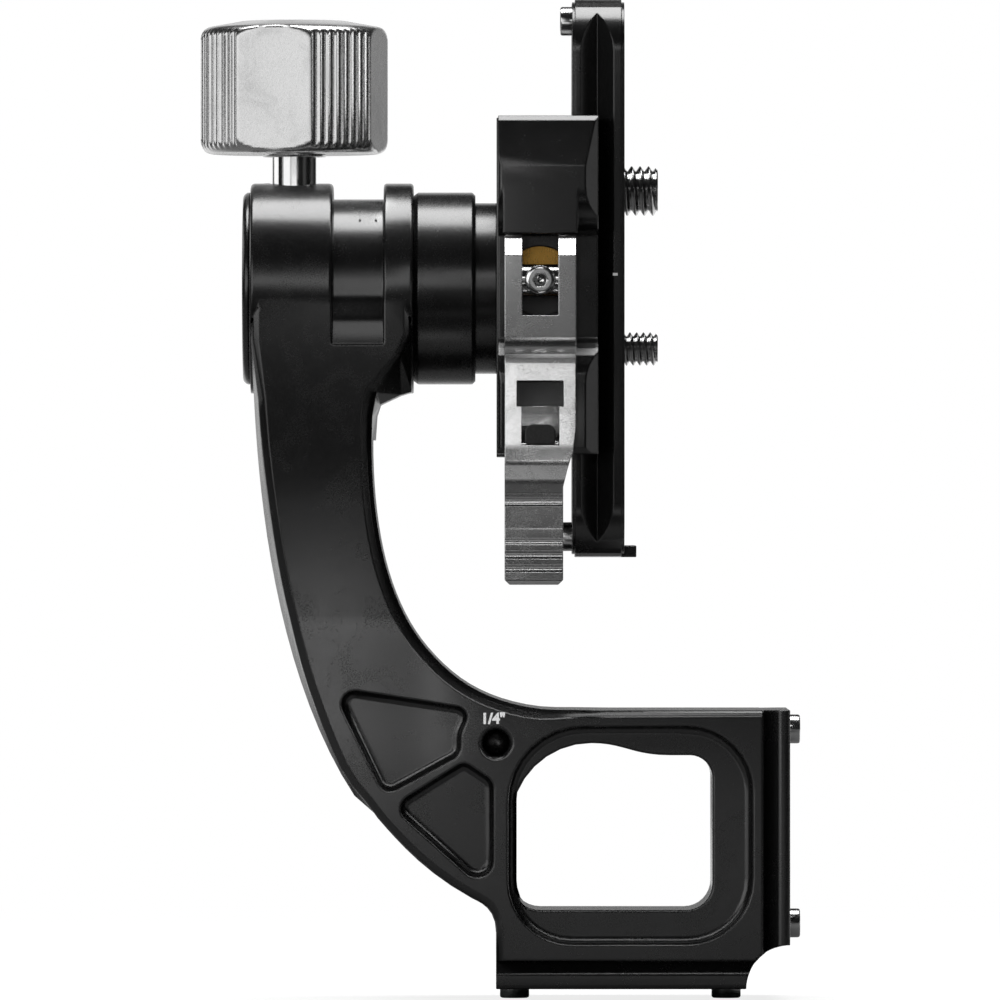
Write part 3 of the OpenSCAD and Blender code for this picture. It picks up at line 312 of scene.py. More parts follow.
def moulded(name, level=0.045, rough=0.42):
    """A moulded button with a soft spark-eroded grain."""
    finish, tree, shader = shader_of(name)
    surface = effect_node(tree, blasted_grain, Grain_size=0.3, Cloud_size=6.0)
    rubbed = effect_node(tree, edge_wear, Reach=0.3, Amount=0.6)
    base = blended(tree, surface["Shade"], grey(level * 0.8), grey(level * 1.2))
    feed(tree, shader.inputs["Base Color"], blended(tree, rubbed["Mask"] * 0.5, base, grey(level * 2)))
    feed(tree, shader.inputs["Roughness"], rough + surface["Shade"] * 0.12)
    raise_grain(tree, shader, 0.6, 10.0, surface["Height"])
    return finish


def printed(name, level=0.8):
    """White ink, slightly broken where the grain shows through, with a faint painted glow that lifts it
    towards white.
    """
    finish, tree, shader = shader_of(name)
    surface = effect_node(tree, blasted_grain, Grain_size=0.1, Cloud_size=2.0)
    feed(tree, shader.inputs["Base Color"],
         blended(tree, surface["Shade"], grey(level * 0.86), grey(level)))
    feed(tree, shader.inputs["Roughness"], 0.5 + surface["Cloud"] * 0.15)
    # Painted glow: the ink gives off light of its own, so it reads whiter than the lamps alone make it.
    shader.inputs["Emission Color"].default_value = (1.0, 1.0, 1.0, 1.0)
    shader.inputs["Emission Strength"].default_value = 0.25
    raise_grain(tree, shader, 0.3, 4.0, surface["Height"])
    return finish


ANODISED = {
    "anodised_arm": {},
    "anodised_hub": dict(level=0.006, rough=0.22, grain=0.16, edge=0.35),
    "anodised_clamp": dict(rough=0.2, edge=0.45),
    "anodised_plate": dict(rough=0.2, grain=0.18, depth=3.0, edge=0.35),
}
EVEN = (1.0, 1.0, 1.0)
BARE_METAL = {
    "silver_knob": dict(level=0.7, rough=0.21, across=(1.0, 1.0, 0.2), depth=0.7, edge=0.02, wear=0.2),
    "silver_lever": dict(level=0.7, rough=0.17, across=(0.2, 1.0, 1.0), depth=0.2, edge=0.03, wear=0.05),
    "bright_steel": dict(level=0.74, rough=0.06, line=0.08, across=(1.0, 1.0, 0.5), depth=0.8),
    "screw_steel": dict(rough=0.12, line=0.1, across=EVEN, edge=0.04),
    "race_steel": dict(level=0.55, rough=0.14, line=0.1, across=(1.0, 0.05, 0.05)),
    "spring_steel": dict(level=0.5, rough=0.22, line=0.1, across=EVEN, edge=0.1),
    "brass_seat": dict(level=0.74, rough=0.22, line=0.14, tint=(1.0, 0.56, 0.13), across=(1.0, 1.0, 0.06),
                       depth=0.5, edge=0.1, wear=0.1),
    "brass_pad": dict(level=0.66, rough=0.3, line=0.14, tint=(1.0, 0.76, 0.4)),
}
FINISH = {name: anodised(name, **look) for name, look in ANODISED.items()}
FINISH.update({name: silver(name, **look) for name, look in BARE_METAL.items()})
FINISH["grey_button"] = moulded("grey_button")
GLOWING_PRINT = printed("print_white")


# Pieces made from the solids of the frame

def merged(node):
    """A solid's skin with its corners joined and its flat faces whole."""
    skin = bmesh.new()
    skin.from_mesh(frame["nodes"][node].data)
    bmesh.ops.remove_doubles(skin, verts=skin.verts, dist=2e-6)
    bmesh.ops.dissolve_limit(skin, angle_limit=radians(0.5), verts=skin.verts, edges=skin.edges)
    skin.normal_update()
    return skin


def in_scene(name, data):
    """Puts a mesh, some words, a lamp or a camera in the scene."""
    piece = bpy.data.objects.new(name, data)
    bpy.context.scene.collection.objects.link(piece)
    return piece


def shown(name, skin):
    mesh = bpy.data.meshes.new(name)
    skin.to_mesh(mesh)
    skin.free()
    return in_scene(name, mesh)


def sheet(name, corners, finish):
    """A single flat face."""
    mesh = bpy.data.meshes.new(name)
    mesh.from_pydata([tuple(corner) for corner in corners], [], [(0, 1, 2, 3)])
    mesh.materials.append(finish)
    return in_scene(name, mesh)


def settled(piece):
    """Bakes a piece's modifiers into its mesh."""
    bpy.context.view_layer.update()
    graph = bpy.context.evaluated_depsgraph_get()
    mesh = bpy.data.meshes.new_from_object(piece.evaluated_get(graph), depsgraph=graph)
    mesh.name = piece.name
    piece.modifiers.clear()
    piece.data = mesh
    return piece


def flat_regions(skin, fewest=12):
    """The groups of faces that lie flat beside each other, where one has many corners."""
    done = set()
    regions = []
    for face in skin.faces:
        if face in done or len(face.verts) < fewest:
            continue
        region, front = {face}, [face]
        while front:
            here = front.pop()
            for edge in here.edges:
                for other in edge.link_faces:
                    if other not in region and other.normal.dot(face.normal) > 0.99999:
                        region.add(other)
                        front.append(other)
        done |= region
        regions.append((region, face.normal.copy()))
    return regions


def refilled(mesh):
    """Fills each large flat region of a mesh anew, so that its holes stay open."""
    skin = bmesh.new()
    skin.from_mesh(mesh)
    for region, normal in flat_regions(skin):
        edges = [edge for face in region for edge in face.edges]
        rim = [e for e in edges if sum(1 for f in e.link_faces if f in region) == 1]
        inside = {e for e in edges if all(f in region for f in e.link_faces)}
        bmesh.ops.delete(skin, geom=list(region), context="FACES_ONLY")
        loose = [e for e in inside if e.is_valid and not e.link_faces]
        bmesh.ops.delete(skin, geom=loose, context="EDGES")
        bmesh.ops.triangle_fill(
            skin, edges=list(set(rim)), use_beauty=True, use_dissolve=False, normal=normal)
    filled = [e for e in skin.edges if len(e.link_faces) == 2 and len(e.link_faces[0].verts) == 3]
    bmesh.ops.dissolve_limit(skin, angle_limit=radians(0.05), verts=[], edges=filled)
    bmesh.ops.recalc_face_normals(skin, faces=skin.faces)
    for face in skin.faces:
        face.smooth = True
    skin.to_mesh(mesh)
    skin.free()


def soften(piece, width, rows=2, angle=24.0, by_weight=False, crisp=False):
    """Rounds the edges of a piece and keeps its flat faces flat in the light."""
    rounding = piece.modifiers.new("edges", "BEVEL")
    rounding.width = width * MM
    rounding.segments = rows
    rounding.limit_method = "WEIGHT" if by_weight else "ANGLE"
    rounding.angle_limit = radians(angle)
    rounding.miter_outer = "MITER_ARC"
    rounding.use_clamp_overlap = not by_weight
    settled(piece)
    refilled(piece.data)
    flatness = piece.modifiers.new("flatness", "WEIGHTED_NORMAL")
    flatness.weight = 80
    flatness.keep_sharp = crisp
    return settled(piece)


def fitted(piece, slot, *nodes):
    """Gives a piece its finish and lets it stand for its nodes."""
    piece.data.materials.clear()
    piece.data.materials.append(FINISH[slot])
    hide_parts(*nodes)
    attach(piece, BODY_OF[nodes[0]])
    return piece


def crease_flats(skin):
    """Keeps the crease crisp where two large flat faces meet at a slight angle."""
    smallest, slight = 8.0 * MM * MM, radians(4.0)
    for edge in skin.edges:
        if len(edge.link_faces) == 2 and min(f.calc_area() for f in edge.link_faces) > smallest:
            edge.smooth = edge.calc_face_angle(0.0) < slight


def cut_off(skin, place, normal, **cleared):
    """Cuts away what lies on the cleared side of a plane and closes the cut."""
    bmesh.ops.bisect_plane(skin, geom=skin.verts[:] + skin.edges[:] + skin.faces[:],
                           plane_co=place, plane_no=normal, **cleared)
    bmesh.ops.holes_fill(skin, edges=[e for e in skin.edges if e.is_boundary])
    bmesh.ops.recalc_face_normals(skin, faces=skin.faces)


def dressed(node, slot, width=0.25, rows=2, angle=24.0, change=None):
    skin = merged(node)
    if change:
        change(skin)
    crease_flats(skin)
    return fitted(soften(shown(node + "_skin", skin), width, rows, angle, crisp=True), slot, node)


def weigh_edges(skin, widest, rounding):
    """Gives each edge between two faces its share of the widest rounding."""
    layer = skin.edges.layers.float.new("bevel_weight_edge")
    for edge in skin.edges:
        if len(edge.link_faces) == 2:
            edge[layer] = rounding(edge) / widest


LEVER_FLOW = 0.6
TAB_TOP = 91 * MM


def lever_rounding(edge):
    """Wide where the lever's front faces flow into each other above its tab, narrow elsewhere."""
    bend = math.degrees(edge.calc_face_angle(0.0))
    along = (edge.verts[0].co - edge.verts[1].co).normalized()
    if abs(along.x) > 0.95 and 4 < bend < 34 and edge.verts[0].co.z > TAB_TOP:
        return LEVER_FLOW
    return 0.15 if bend > 24 else 0.0


def make_lever():
    skin = merged("clamp_lever")
    weigh_edges(skin, LEVER_FLOW, lever_rounding)
    piece = soften(shown("clamp_lever_skin", skin), LEVER_FLOW, rows=4, by_weight=True)
    return fitted(piece, "silver_lever", "clamp_lever")


def close_gap(skin):
    """Brings the hub's sleeve up to the flange, so that no light shows between them."""
    sleeve_end, flange_face = -38.7, -38.94
    for corner in skin.verts:
        if abs(corner.co.x / MM - sleeve_end) < 0.1:
            corner.co.x = flange_face * MM


def halve_seat(skin):
    """Leaves the half of the seat that stands above the trunnion."""
    low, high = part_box("lever_trunnion")
    cut_off(skin, (0, 0, (low.z + high.z) / 2), (0, 0, 1), clear_inner=True)


# The frame arm: chamfers as on the real casting, rims and fillets in its pockets

def along_height(height, marks):
    """Reads a number from a list of heights and numbers, easing from one to the next."""
    if height <= marks[0][0]:
        return marks[0][1]
    for (low, first), (high, second) in zip(marks, marks[1:]):
        if height <= high:
            share = (height - low) / (high - low)
            share = share * share * (3 - 2 * share)
            return first + (second - first) * share
    return marks[-1][1]


# How far the rings of the arm's chamfers move, in millimetres: on the face, in the middle, lowest
INNER_SHIFT, INNER_DROP = (-1.2, -1.0, -0.55), (0.0, 0.25, 0.5)
OUTER_SHIFT = (0.65, 0.1, 0.6)
OUTER_BY_HEIGHT = [(35.0, 0.0), (42.0, 0.95), (56.0, 0.7), (72.0, 0.3), (95.0, -0.05), (121.0, -0.1)]


def chamfer_arm(skin):
    """Moves the rings along both faces so that the chamfers have their real width."""
    moves = {}
    for corner in skin.verts:
        depth = ARM_FACE - abs(corner.co.y)
        if depth > 1.6 * MM or depth < -0.05 * MM:
            continue
        x, z = corner.co.x / MM, corner.co.z / MM
        slopes = [f for f in corner.link_faces if 0.12 < abs(f.normal.y) < 0.98]
        in_hole = math.hypot(x - HOLE_X, z - HOLE_Z) < 4.5
        in_groove = abs(x - GROOVE_MIDDLE) < 5.2 and z > 119
        if not slopes or in_hole or in_groove or z > 121 or x > -3 or z < 26:
            continue
        out = Vector((0.0, 0.0))
        for face in slopes:
            out += Vector((face.normal.x, face.normal.z)).normalized()
        if out.length < 1e-6:
            continue
        out.normalize()
        inner = out.x > 0.0 or (out.y > 0.3 and x > -40)
        side = 1.0 if corner.co.y > 0 else -1.0
        level = 0 if depth < 0.1 * MM else 1 if depth < 0.9 * MM else 2
        if inner:
            fade = along_height(x, [(-17.0, 1.0), (-6.0, 0.0)])
            fade *= along_height(z, [(112.0, 1.0), (119.0, 0.0)])
            shift, drop = INNER_SHIFT[level] * fade, INNER_DROP[level] * fade
        else:
            fade = along_height(z, [(27.0, 0.0), (40.0, 1.0)])
            shift, drop = along_height(z, OUTER_BY_HEIGHT) + OUTER_SHIFT[level] * fade, 0.0
        moves[corner] = (out * shift * MM, side * -drop * MM)
    for corner, (shift, drop) in moves.items():
        corner.co.x += shift.x
        corner.co.z += shift.y
        corner.co.y += drop


# The channel's floor on its way up, as heights and how much it falls per millimetre there
CHANNEL_HALF = 4.74
CHANNEL_START = 19.49
CHANNEL_SLOPES = [(120.85, 0.0), (123.6, 0.11), (125.0, 0.12), (126.4, 0.54), (128.6, 0.54), (130.3, 0.09),
                  (133.2, 0.09)]


def run_out_depth(height):
    """How far the channel's floor stands from the middle plane at a height."""
    depth = CHANNEL_START
    for (low, first), (high, last) in zip(CHANNEL_SLOPES, CHANNEL_SLOPES[1:]):
        run = min(height, high) - low
        if run > 0:
            depth -= run * (2 * first + (last - first) * run / (high - low)) / 2
    return depth


def ease_groove(skin, rows=42):
    """Lays the floor by which the channel round the neck runs out into both faces of the arm."""
    low, high = CHANNEL_SLOPES[0][0], CHANNEL_SLOPES[-1][0]
    for side in (-1, 1):
        below = None
        for step in range(rows + 1):
            height = low + (high - low) * step / rows
            depth = side * run_out_depth(height)
            row = [skin.verts.new(((GROOVE_MIDDLE + reach) * MM, depth * MM, height * MM))
                   for reach in (-CHANNEL_HALF, CHANNEL_HALF)]
            if below:
                corners = [below[0], below[1], row[1], row[0]]
                skin.faces.new(corners if side < 0 else corners[::-1])
            below = row


def point_hole(skin):
    """Gives the accessory hole the cone that its drill left."""
    for face in list(skin.faces):
        middle = face.calc_center_median()
        off = math.hypot(middle.x / MM - HOLE_X, middle.z / MM - HOLE_Z)
        if off < 1.0 and abs(face.normal.y) > 0.99 and len(face.verts) > 12 and middle.y < 0:
            inward = face.normal.copy()
            tip = bmesh.ops.poke(skin, faces=[face])["verts"][0]
            tip.co -= inward * 1.6 * MM


def arm_rounding(edge):
    """How wide one edge of the arm is rounded: narrow rims, and deep fillets on the pockets' floors."""
    bend = math.degrees(edge.calc_face_angle_signed(0.0))
    across = [v.co.x / MM for v in edge.verts]
    top = max(v.co.z for v in edge.verts) / MM
    deep = [(ARM_FACE - abs(v.co.y)) / MM for v in edge.verts]
    run = (edge.verts[0].co - edge.verts[1].co) / MM
    in_corner = max(across) < -21.5 and 5.0 < top < 15.6 and min(deep) > -0.1
    if abs(bend) < 22 or in_corner:
        return 0.0
    if abs(run.z) > 20 and min(across) > 27:
        return 0.85 if min(across) > 31.5 else 0.4
    if abs(run.x) > 20 and top < 2.9:
        return 0.85 if top < 0.2 else 0.4
    flats = [f for f in edge.link_faces if abs(f.normal.y) > 0.99]
    walls = [f for f in edge.link_faces if abs(f.normal.y) < 0.05]
    if len(flats) == 1 and walls:
        if min(deep) > 5 and max(deep) < 8:
            return 1.55 if bend < 0 else 0.5
        if max(deep) < 0.1 and min(deep) > -0.1:
            return 0.42
    reach = [math.hypot(v.co.y, v.co.z - TILT_Z) / MM for v in edge.verts]
    if min(reach) > 19.7 and max(reach) < 19.9 and abs(across[0] - across[1]) < 0.1:
        low = min(v.co.z for v in edge.verts) / MM
        return along_height(low, [(124.0, 0.18), (130.0, 0.8 if across[0] < -50 else 0.6)])
    return 0.18


def make_arm():
    skin = merged("frame_arm")
    chamfer_arm(skin)
    ease_groove(skin)
    point_hole(skin)
    skin.normal_update()
    widest = 1.6
    weigh_edges(skin, widest, arm_rounding)
    piece = soften(shown("arm_casting", skin), widest, rows=3, by_weight=True)
    return fitted(piece, "anodised_arm", "frame_arm")


# Turned, threaded and coiled pieces

def shape_tree(name, numbers, place):
    """A geometry tree that grows on points, with its sockets, its wires and its end."""
    tree = bpy.data.node_groups.new(name, "GeometryNodeTree")
    tree.interface.new_socket("Places", in_out="INPUT", socket_type="NodeSocketGeometry")
    for title, value in numbers.items():
        kind = "NodeSocketInt" if isinstance(value, int) else "NodeSocketFloat"
        socket = tree.interface.new_socket(title, in_out="INPUT", socket_type=kind)
        socket.default_value = value
    tree.interface.new_socket(place, in_out="INPUT", socket_type="NodeSocketVector")
    tree.interface.new_socket("Finish", in_out="INPUT", socket_type="NodeSocketMaterial")
    tree.interface.new_socket("Shape", in_out="OUTPUT", socket_type="NodeSocketGeometry")
    start = tree.nodes.new("NodeGroupInput")
    end = tree.nodes.new("NodeGroupOutput")
    wires = {title: Wire(tree, start.outputs[title]) for title in [*numbers, place, "Finish"]}
    return tree, wires, start.outputs["Places"], end


def revolve(tree, rows, facets):
    """A grid whose rows go round: gives its share of a turn and its row number."""
    grid = add(tree, "GeometryNodeMeshGrid", Size_X=1.0, Size_Y=1.0, Vertices_X=facets, Vertices_Y=rows)
    split = add(tree, "ShaderNodeSeparateXYZ", Vector=add(tree, "GeometryNodeInputPosition").outputs[0])
    turn = Wire(tree, split.outputs["X"]) + 0.5
    share = Wire(tree, split.outputs["Y"]) + 0.5
    return grid.outputs["Mesh"], turn, share


def closed_surface(tree, grid, radius, turn, height, sharp=35.0):
    """Rolls the grid up, joins its seam and smooths all but its sharp edges."""
    angle = turn * (2 * math.pi)
    place = add(tree, "ShaderNodeCombineXYZ", X=radius * angle.op("COSINE"), Y=radius * angle.op("SINE"),
                Z=height)
    rolled = add(tree, "GeometryNodeSetPosition", Geometry=grid, Position=place.outputs[0])
    joined = add(tree, "GeometryNodeMergeByDistance", Geometry=rolled.outputs[0], Distance=2e-6)
    return smoothed(tree, joined.outputs[0], sharp)


def smoothed(tree, geometry, sharp=35.0):
    edge = add(tree, "GeometryNodeInputMeshEdgeAngle")
    soft = Wire(tree, edge.outputs["Unsigned Angle"]).op("LESS_THAN", radians(sharp))
    faces = add(tree, "GeometryNodeSetShadeSmooth", Geometry=geometry, Shade_Smooth=True)
    edges = add(tree, "GeometryNodeSetShadeSmooth", {"domain": "EDGE"}, Geometry=faces.outputs[0],
                Shade_Smooth=soft)
    return edges.outputs[0]


def placed_copies(tree, geometry, places, turn, finish, end):
    """Sets a copy at each place, makes it real and gives it its finish."""
    copies = add(tree, "GeometryNodeInstanceOnPoints", Points=places, Instance=geometry, Rotation=turn)
    real = add(tree, "GeometryNodeRealizeInstances", Geometry=copies.outputs[0])
    final = add(tree, "GeometryNodeSetMaterial", Geometry=real.outputs[0], Material=finish)
    feed(tree, end.inputs["Shape"], final.outputs[0])


def make_thread_tree():
    """A threaded rod that stands on its place, with a bevelled tip."""
    tree, given, places, end = shape_tree(
        "threaded_rod",
        {"Outer radius": 0.0048, "Thread depth": 0.0009, "Pitch": 0.0016, "Length": 0.0064,
         "Tip bevel": 0.0006, "Rows": 60, "Facets": 64},
        "Turn")
    grid, turn, share = revolve(tree, given["Rows"] + 2, given["Facets"] + 1)
    row = share * (given["Rows"] + 1)
    run = ((row - 1) / (given["Rows"] - 1)).op("MAXIMUM", 0.0).op("MINIMUM", 1.0)
    height = run * given["Length"]
    phase = (height / given["Pitch"] - turn).op("FRACT")
    flank = (phase * 2 - 1).op("ABSOLUTE") * 1.25 - 0.125
    cut = flank.op("MAXIMUM", 0.0).op("MINIMUM", 1.0) * given["Thread depth"]
    tip = given["Outer radius"] - given["Tip bevel"] + (given["Length"] - height)
    solid = row.op("GREATER_THAN", 0.5) * row.op("LESS_THAN", given["Rows"] + 0.5)
    radius = (given["Outer radius"] - cut).op("MINIMUM", tip) * solid
    rod = closed_surface(tree, grid, radius, turn, height, 60.0)
    placed_copies(tree, rod, places, given["Turn"], given["Finish"], end)
    return tree


def picked(tree, index, values):
    """Chooses one of several numbers by a whole number."""
    node = tree.nodes.new("GeometryNodeIndexSwitch")
    node.data_type = "FLOAT"
    while len(node.index_switch_items) < len(values):
        node.index_switch_items.new()
    feed(tree, node.inputs[0], index)
    for slot, value in zip(list(node.inputs)[1:], values):
        feed(tree, slot, value)
    return Wire(tree, node.outputs[0])


def make_screw_tree():
    """A cap screw with a hex socket, rounded head and bevelled end."""
    tree, given, places, end = shape_tree(
        "socket_screw",
        {"Head radius": 0.0028, "Head height": 0.0025, "Head edge": 0.0004, "Shank radius": 0.0015,
         "Shank length": 0.006, "Socket radius": 0.0015, "Socket depth": 0.0013, "Facets": 48},
        "Turn")
    rows = 11
    grid, turn, share = revolve(tree, rows, given["Facets"] + 1)
    index = (share * (rows - 1)).op("ROUND")
    head, top, edge = given["Head radius"], given["Head height"], given["Head edge"]
    shank, low, bevel = given["Shank radius"], given["Shank length"] * -1, given["Shank radius"] * 0.25
    radius = picked(tree, index, [
        0.0, shank - bevel, shank, shank,
        head - edge * 0.4, head, head, head - edge * 0.3, head - edge, head - edge * 2, 0.0])
    height = picked(tree, index, [
        low, low, low + bevel, 0.0,
        0.0, edge * 0.4, top - edge, top - edge * 0.3, top, top, top])
    body = closed_surface(tree, grid, radius, turn, height)
    key = add(tree, "GeometryNodeMeshCylinder", Vertices=6, Radius=given["Socket radius"],
              Depth=given["Socket depth"] * 2)
    lift = add(tree, "ShaderNodeCombineXYZ", Z=top)
    raised = add(tree, "GeometryNodeTransform", Geometry=key.outputs["Mesh"], Translation=lift.outputs[0])
    drill = add(tree, "GeometryNodeMeshCone", Vertices=12, Radius_Top=0.0,
                Radius_Bottom=given["Socket radius"] * 0.84, Depth=given["Socket radius"] * 0.8)
    sink = add(tree, "ShaderNodeCombineXYZ", Z=top - given["Socket depth"] + 0.02 * MM)
    sunk = add(tree, "GeometryNodeTransform", Geometry=drill.outputs["Mesh"], Translation=sink.outputs[0],
               Rotation=(math.pi, 0.0, 0.0))
    cut = add(tree, "GeometryNodeMeshBoolean", {"operation": "DIFFERENCE"})
    feed(tree, cut.inputs["Mesh 1"], body)
    feed(tree, cut.inputs["Mesh 2"], raised.outputs[0])
    feed(tree, cut.inputs["Mesh 2"], sunk.outputs[0])
    placed_copies(tree, smoothed(tree, cut.outputs[0]), places, given["Turn"], given["Finish"], end)
    return tree


def make_spring_tree():
    """A coil of round wire that stands on its place."""
    tree, given, places, end = shape_tree(
        "coil_spring",
        {"Coil radius": 0.003, "Wire radius": 0.00035, "Length": 0.008, "Turns": 6.0, "Steps": 28},
        "Turn")
    coil = add(tree, "GeometryNodeCurveSpiral", Resolution=given["Steps"], Rotations=given["Turns"],
               Start_Radius=given["Coil radius"], End_Radius=given["Coil radius"], Height=given["Length"])
    wire = add(tree, "GeometryNodeCurvePrimitiveCircle", Resolution=8, Radius=given["Wire radius"])
    swept = add(tree, "GeometryNodeCurveToMesh", Curve=coil.outputs[0], Profile_Curve=wire.outputs[0],
                Fill_Caps=True)
    placed_copies(tree, smoothed(tree, swept.outputs[0]), places, given["Turn"], given["Finish"], end)
    return tree


def make_ball_tree():
    """A ring of bearing balls round each place."""
    tree, given, places, end = shape_tree(
        "ball_ring", {"Ring radius": 0.0116, "Ball radius": 0.0015, "Balls": 15}, "Turn")
    ring = add(tree, "GeometryNodeMeshCircle", Vertices=given["Balls"], Radius=given["Ring radius"])
    ball = add(tree, "GeometryNodeMeshUVSphere", Segments=20, Rings=12, Radius=given["Ball radius"])
    set_round = add(tree, "GeometryNodeInstanceOnPoints", Points=ring.outputs[0], Instance=ball.outputs[0])
    real = add(tree, "GeometryNodeRealizeInstances", Geometry=set_round.outputs[0])
    placed_copies(tree, smoothed(tree, real.outputs[0]), places, given["Turn"], given["Finish"], end)
    return tree


def make_knob_tree():
    """The knob: a turned profile cut by flats and by rows of knurl grooves."""
    tree, given, profile, end = shape_tree(
        "lock_knob",
        {"Radius": 0.018, "Flat reach": 0.01645, "Flats": 4, "Flat turn": -12.7, "Rim": 0.0003,
         "Grooves": 8, "Groove pitch": 5.3, "Groove depth": 0.0006, "Groove radius": 0.00096, "Facets": 720},
        "Stand")
    count = add(tree, "GeometryNodeAttributeDomainSize", Geometry=profile)
    rows = Wire(tree, count.outputs["Point Count"])
    grid, turn, share = revolve(tree, rows, given["Facets"] + 1)
    row = (share * (rows - 1)).op("ROUND")
    place = add(tree, "GeometryNodeInputPosition").outputs[0]
    spot = add(tree, "GeometryNodeSampleIndex", {"data_type": "FLOAT_VECTOR"}, Geometry=profile, Value=place,
               Index=row)
    drawn = add(tree, "ShaderNodeSeparateXYZ", Vector=spot.outputs[0])
    radius, height = Wire(tree, drawn.outputs["X"]), Wire(tree, drawn.outputs["Z"])
    section = 2 * math.pi / given["Flats"]
    angle = turn * (2 * math.pi) - given["Flat turn"] * (math.pi / 180)
    off_flat = ((angle + section / 2) / section).op("FRACT") * section - section / 2
    flat = given["Flat reach"] / off_flat.op("COSINE")
    off_middle = section / 2 - off_flat.op("ABSOLUTE")
    pitch = given["Groove pitch"] * (math.pi / 180)
    steps = off_middle / pitch
    beside = (steps.op("FRACT") - 0.5) * pitch * given["Radius"]
    reach = given["Groove radius"]
    cut = (reach * reach - beside * beside).op("MAXIMUM", 0.0).op("SQRT") - (reach - given["Groove depth"])
    knurled = steps.op("LESS_THAN", given["Grooves"] / 2)
    ribbed = radius.op("MINIMUM", given["Radius"] - cut.op("MAXIMUM", 0.0) * knurled)
    near_rim = radius.op("GREATER_THAN", given["Radius"] * 0.8)
    used = near_rim * ribbed.op("SMOOTH_MIN", flat, given["Rim"]) + (1.0 - near_rim) * radius
    skin = closed_surface(tree, grid, used, turn, height, 50.0)
    stood = add(tree, "GeometryNodeTransform", Geometry=skin, Translation=given["Stand"])
    final = add(tree, "GeometryNodeSetMaterial", Geometry=stood.outputs[0], Material=given["Finish"])
    real = add(tree, "GeometryNodeRealizeInstances", Geometry=final.outputs[0])
    feed(tree, end.inputs["Shape"], real.outputs[0])
    return tree


thread_tree = make_thread_tree()
screw_tree = make_screw_tree()
spring_tree = make_spring_tree()
ball_tree = make_ball_tree()
knob_tree = make_knob_tree()


def grown(name, tree, points, slot, nodes, lines=(), **sizes):
    """Grows a piece from a geometry tree at its points and settles it as a plain mesh."""
    mesh = bpy.data.meshes.new(name)
    mesh.from_pydata([tuple(p) for p in points], list(lines), [])
    piece = in_scene(name, mesh)
    growth = piece.modifiers.new("growth", "NODES")
    growth.node_group = tree
    sizes["Finish"] = FINISH[slot]
    for item in tree.interface.items_tree:
        if item.in_out == "INPUT" and item.socket_type != "NodeSocketGeometry":
            key = item.name.replace(" ", "_")
            if key in sizes:
                growth[item.identifier] = sizes[key]
    settled(piece)
    return fitted(piece, slot, *nodes)


def turned_screws(node, places, turn, slot="screw_steel", **sizes):
    """Turns the screws of one node. Their sizes come in millimetres."""
    sizes = {name: size * MM for name, size in sizes.items()}
    grown(node + "_turned", screw_tree, places, slot, [node], Turn=turn, **sizes)


def centre_of(node):
    low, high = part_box(node)
    return (low + high) / 2, low, high


DOWN = (math.pi, 0.0, 0.0)
RIGHT = (0.0, math.pi / 2, 0.0)
LEFT = (0.0, -math.pi / 2, 0.0)
FRONT = (math.pi / 2, 0.0, 0.0)
UP = (0.0, 0.0, 0.0)
BOTH_SIDES = (-1, 1)
M3_HEAD, M3_HEAD_H, M3_SHANK, M3_SOCKET = 2.75, 2.5, 1.5, 1.45
STOP_SCREW = dict(Head_radius=M3_HEAD, Head_height=M3_HEAD_H, Shank_length=6.0, Socket_radius=M3_SOCKET)


def make_stop_screws():
    """The screws that stop the two rails and the plate: their shanks sit in the metal."""
    head, head_h = M3_HEAD * MM, M3_HEAD_H * MM
    low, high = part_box("base_stop_screws")
    places = [(side * (high.x - head), 0, 0.3 * MM) for side in BOTH_SIDES]
    turned_screws("base_stop_screws", places, DOWN, **STOP_SCREW)
    low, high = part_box("side_stop_screws")
    places = [(high.x - head_h, 0, z) for z in (low.z + head, high.z - head)]
    turned_screws("side_stop_screws", places, RIGHT, **STOP_SCREW)
    low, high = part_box("plate_stop_screws")
    places = [(low.x + head_h, 0, z) for z in (low.z + head, high.z - head)]
    turned_screws("plate_stop_screws", places, LEFT, **STOP_SCREW)


def make_end_stop_screws():
    middle, low, high = centre_of("end_stop_screws")
    head, head_h = 2.3, 1.4
    places = [(low.x + head_h * MM, side * (high.y - head * MM), middle.z) for side in BOTH_SIDES]
    turned_screws("end_stop_screws", places, LEFT, Head_radius=head, Head_height=head_h, Head_edge=0.25,
                  Shank_radius=1.25, Shank_length=(high.x - low.x) / MM - head_h, Socket_radius=0.9,
                  Socket_depth=0.8)


def make_clamp_mount_screws():
    low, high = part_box("clamp_mount_screws")
    head, head_h = 3.6, 4.0
    places = [(high.x - head_h * MM, y, z)
              for y in (low.y + head * MM, high.y - head * MM)
              for z in (low.z + head * MM, high.z - head * MM)]
    turned_screws("clamp_mount_screws", places, RIGHT, Head_radius=head, Head_height=head_h, Head_edge=0.5,
                  Shank_radius=2.0, Shank_length=(high.x - low.x) / MM - head_h, Socket_radius=1.75,
                  Socket_depth=2.0)


def make_drum_screw():
    middle, low, high = centre_of("drum_screw")
    head_h = 1.6
    turned_screws("drum_screw", [(low.x + head_h * MM, middle.y, middle.z)], LEFT,
                  Head_radius=(high.z - low.z) / 2 / MM, Head_height=head_h, Head_edge=0.3,
                  Shank_radius=M3_SHANK, Shank_length=(high.x - low.x) / MM - head_h,
                  Socket_radius=M3_SOCKET, Socket_depth=0.8)


def make_tie_screw():
    """The screw between the fork's arms, with its bright head towards the front."""
    middle, low, high = centre_of("tie_screw")
    head_h = 2.8
    turned_screws("tie_screw", [(middle.x, low.y + head_h * MM, middle.z)], FRONT, "bright_steel",
                  Head_radius=M3_HEAD, Head_height=head_h, Shank_radius=M3_SHANK,
                  Shank_length=(high.y - low.y) / MM - head_h, Socket_radius=M3_SOCKET, Socket_depth=1.4)


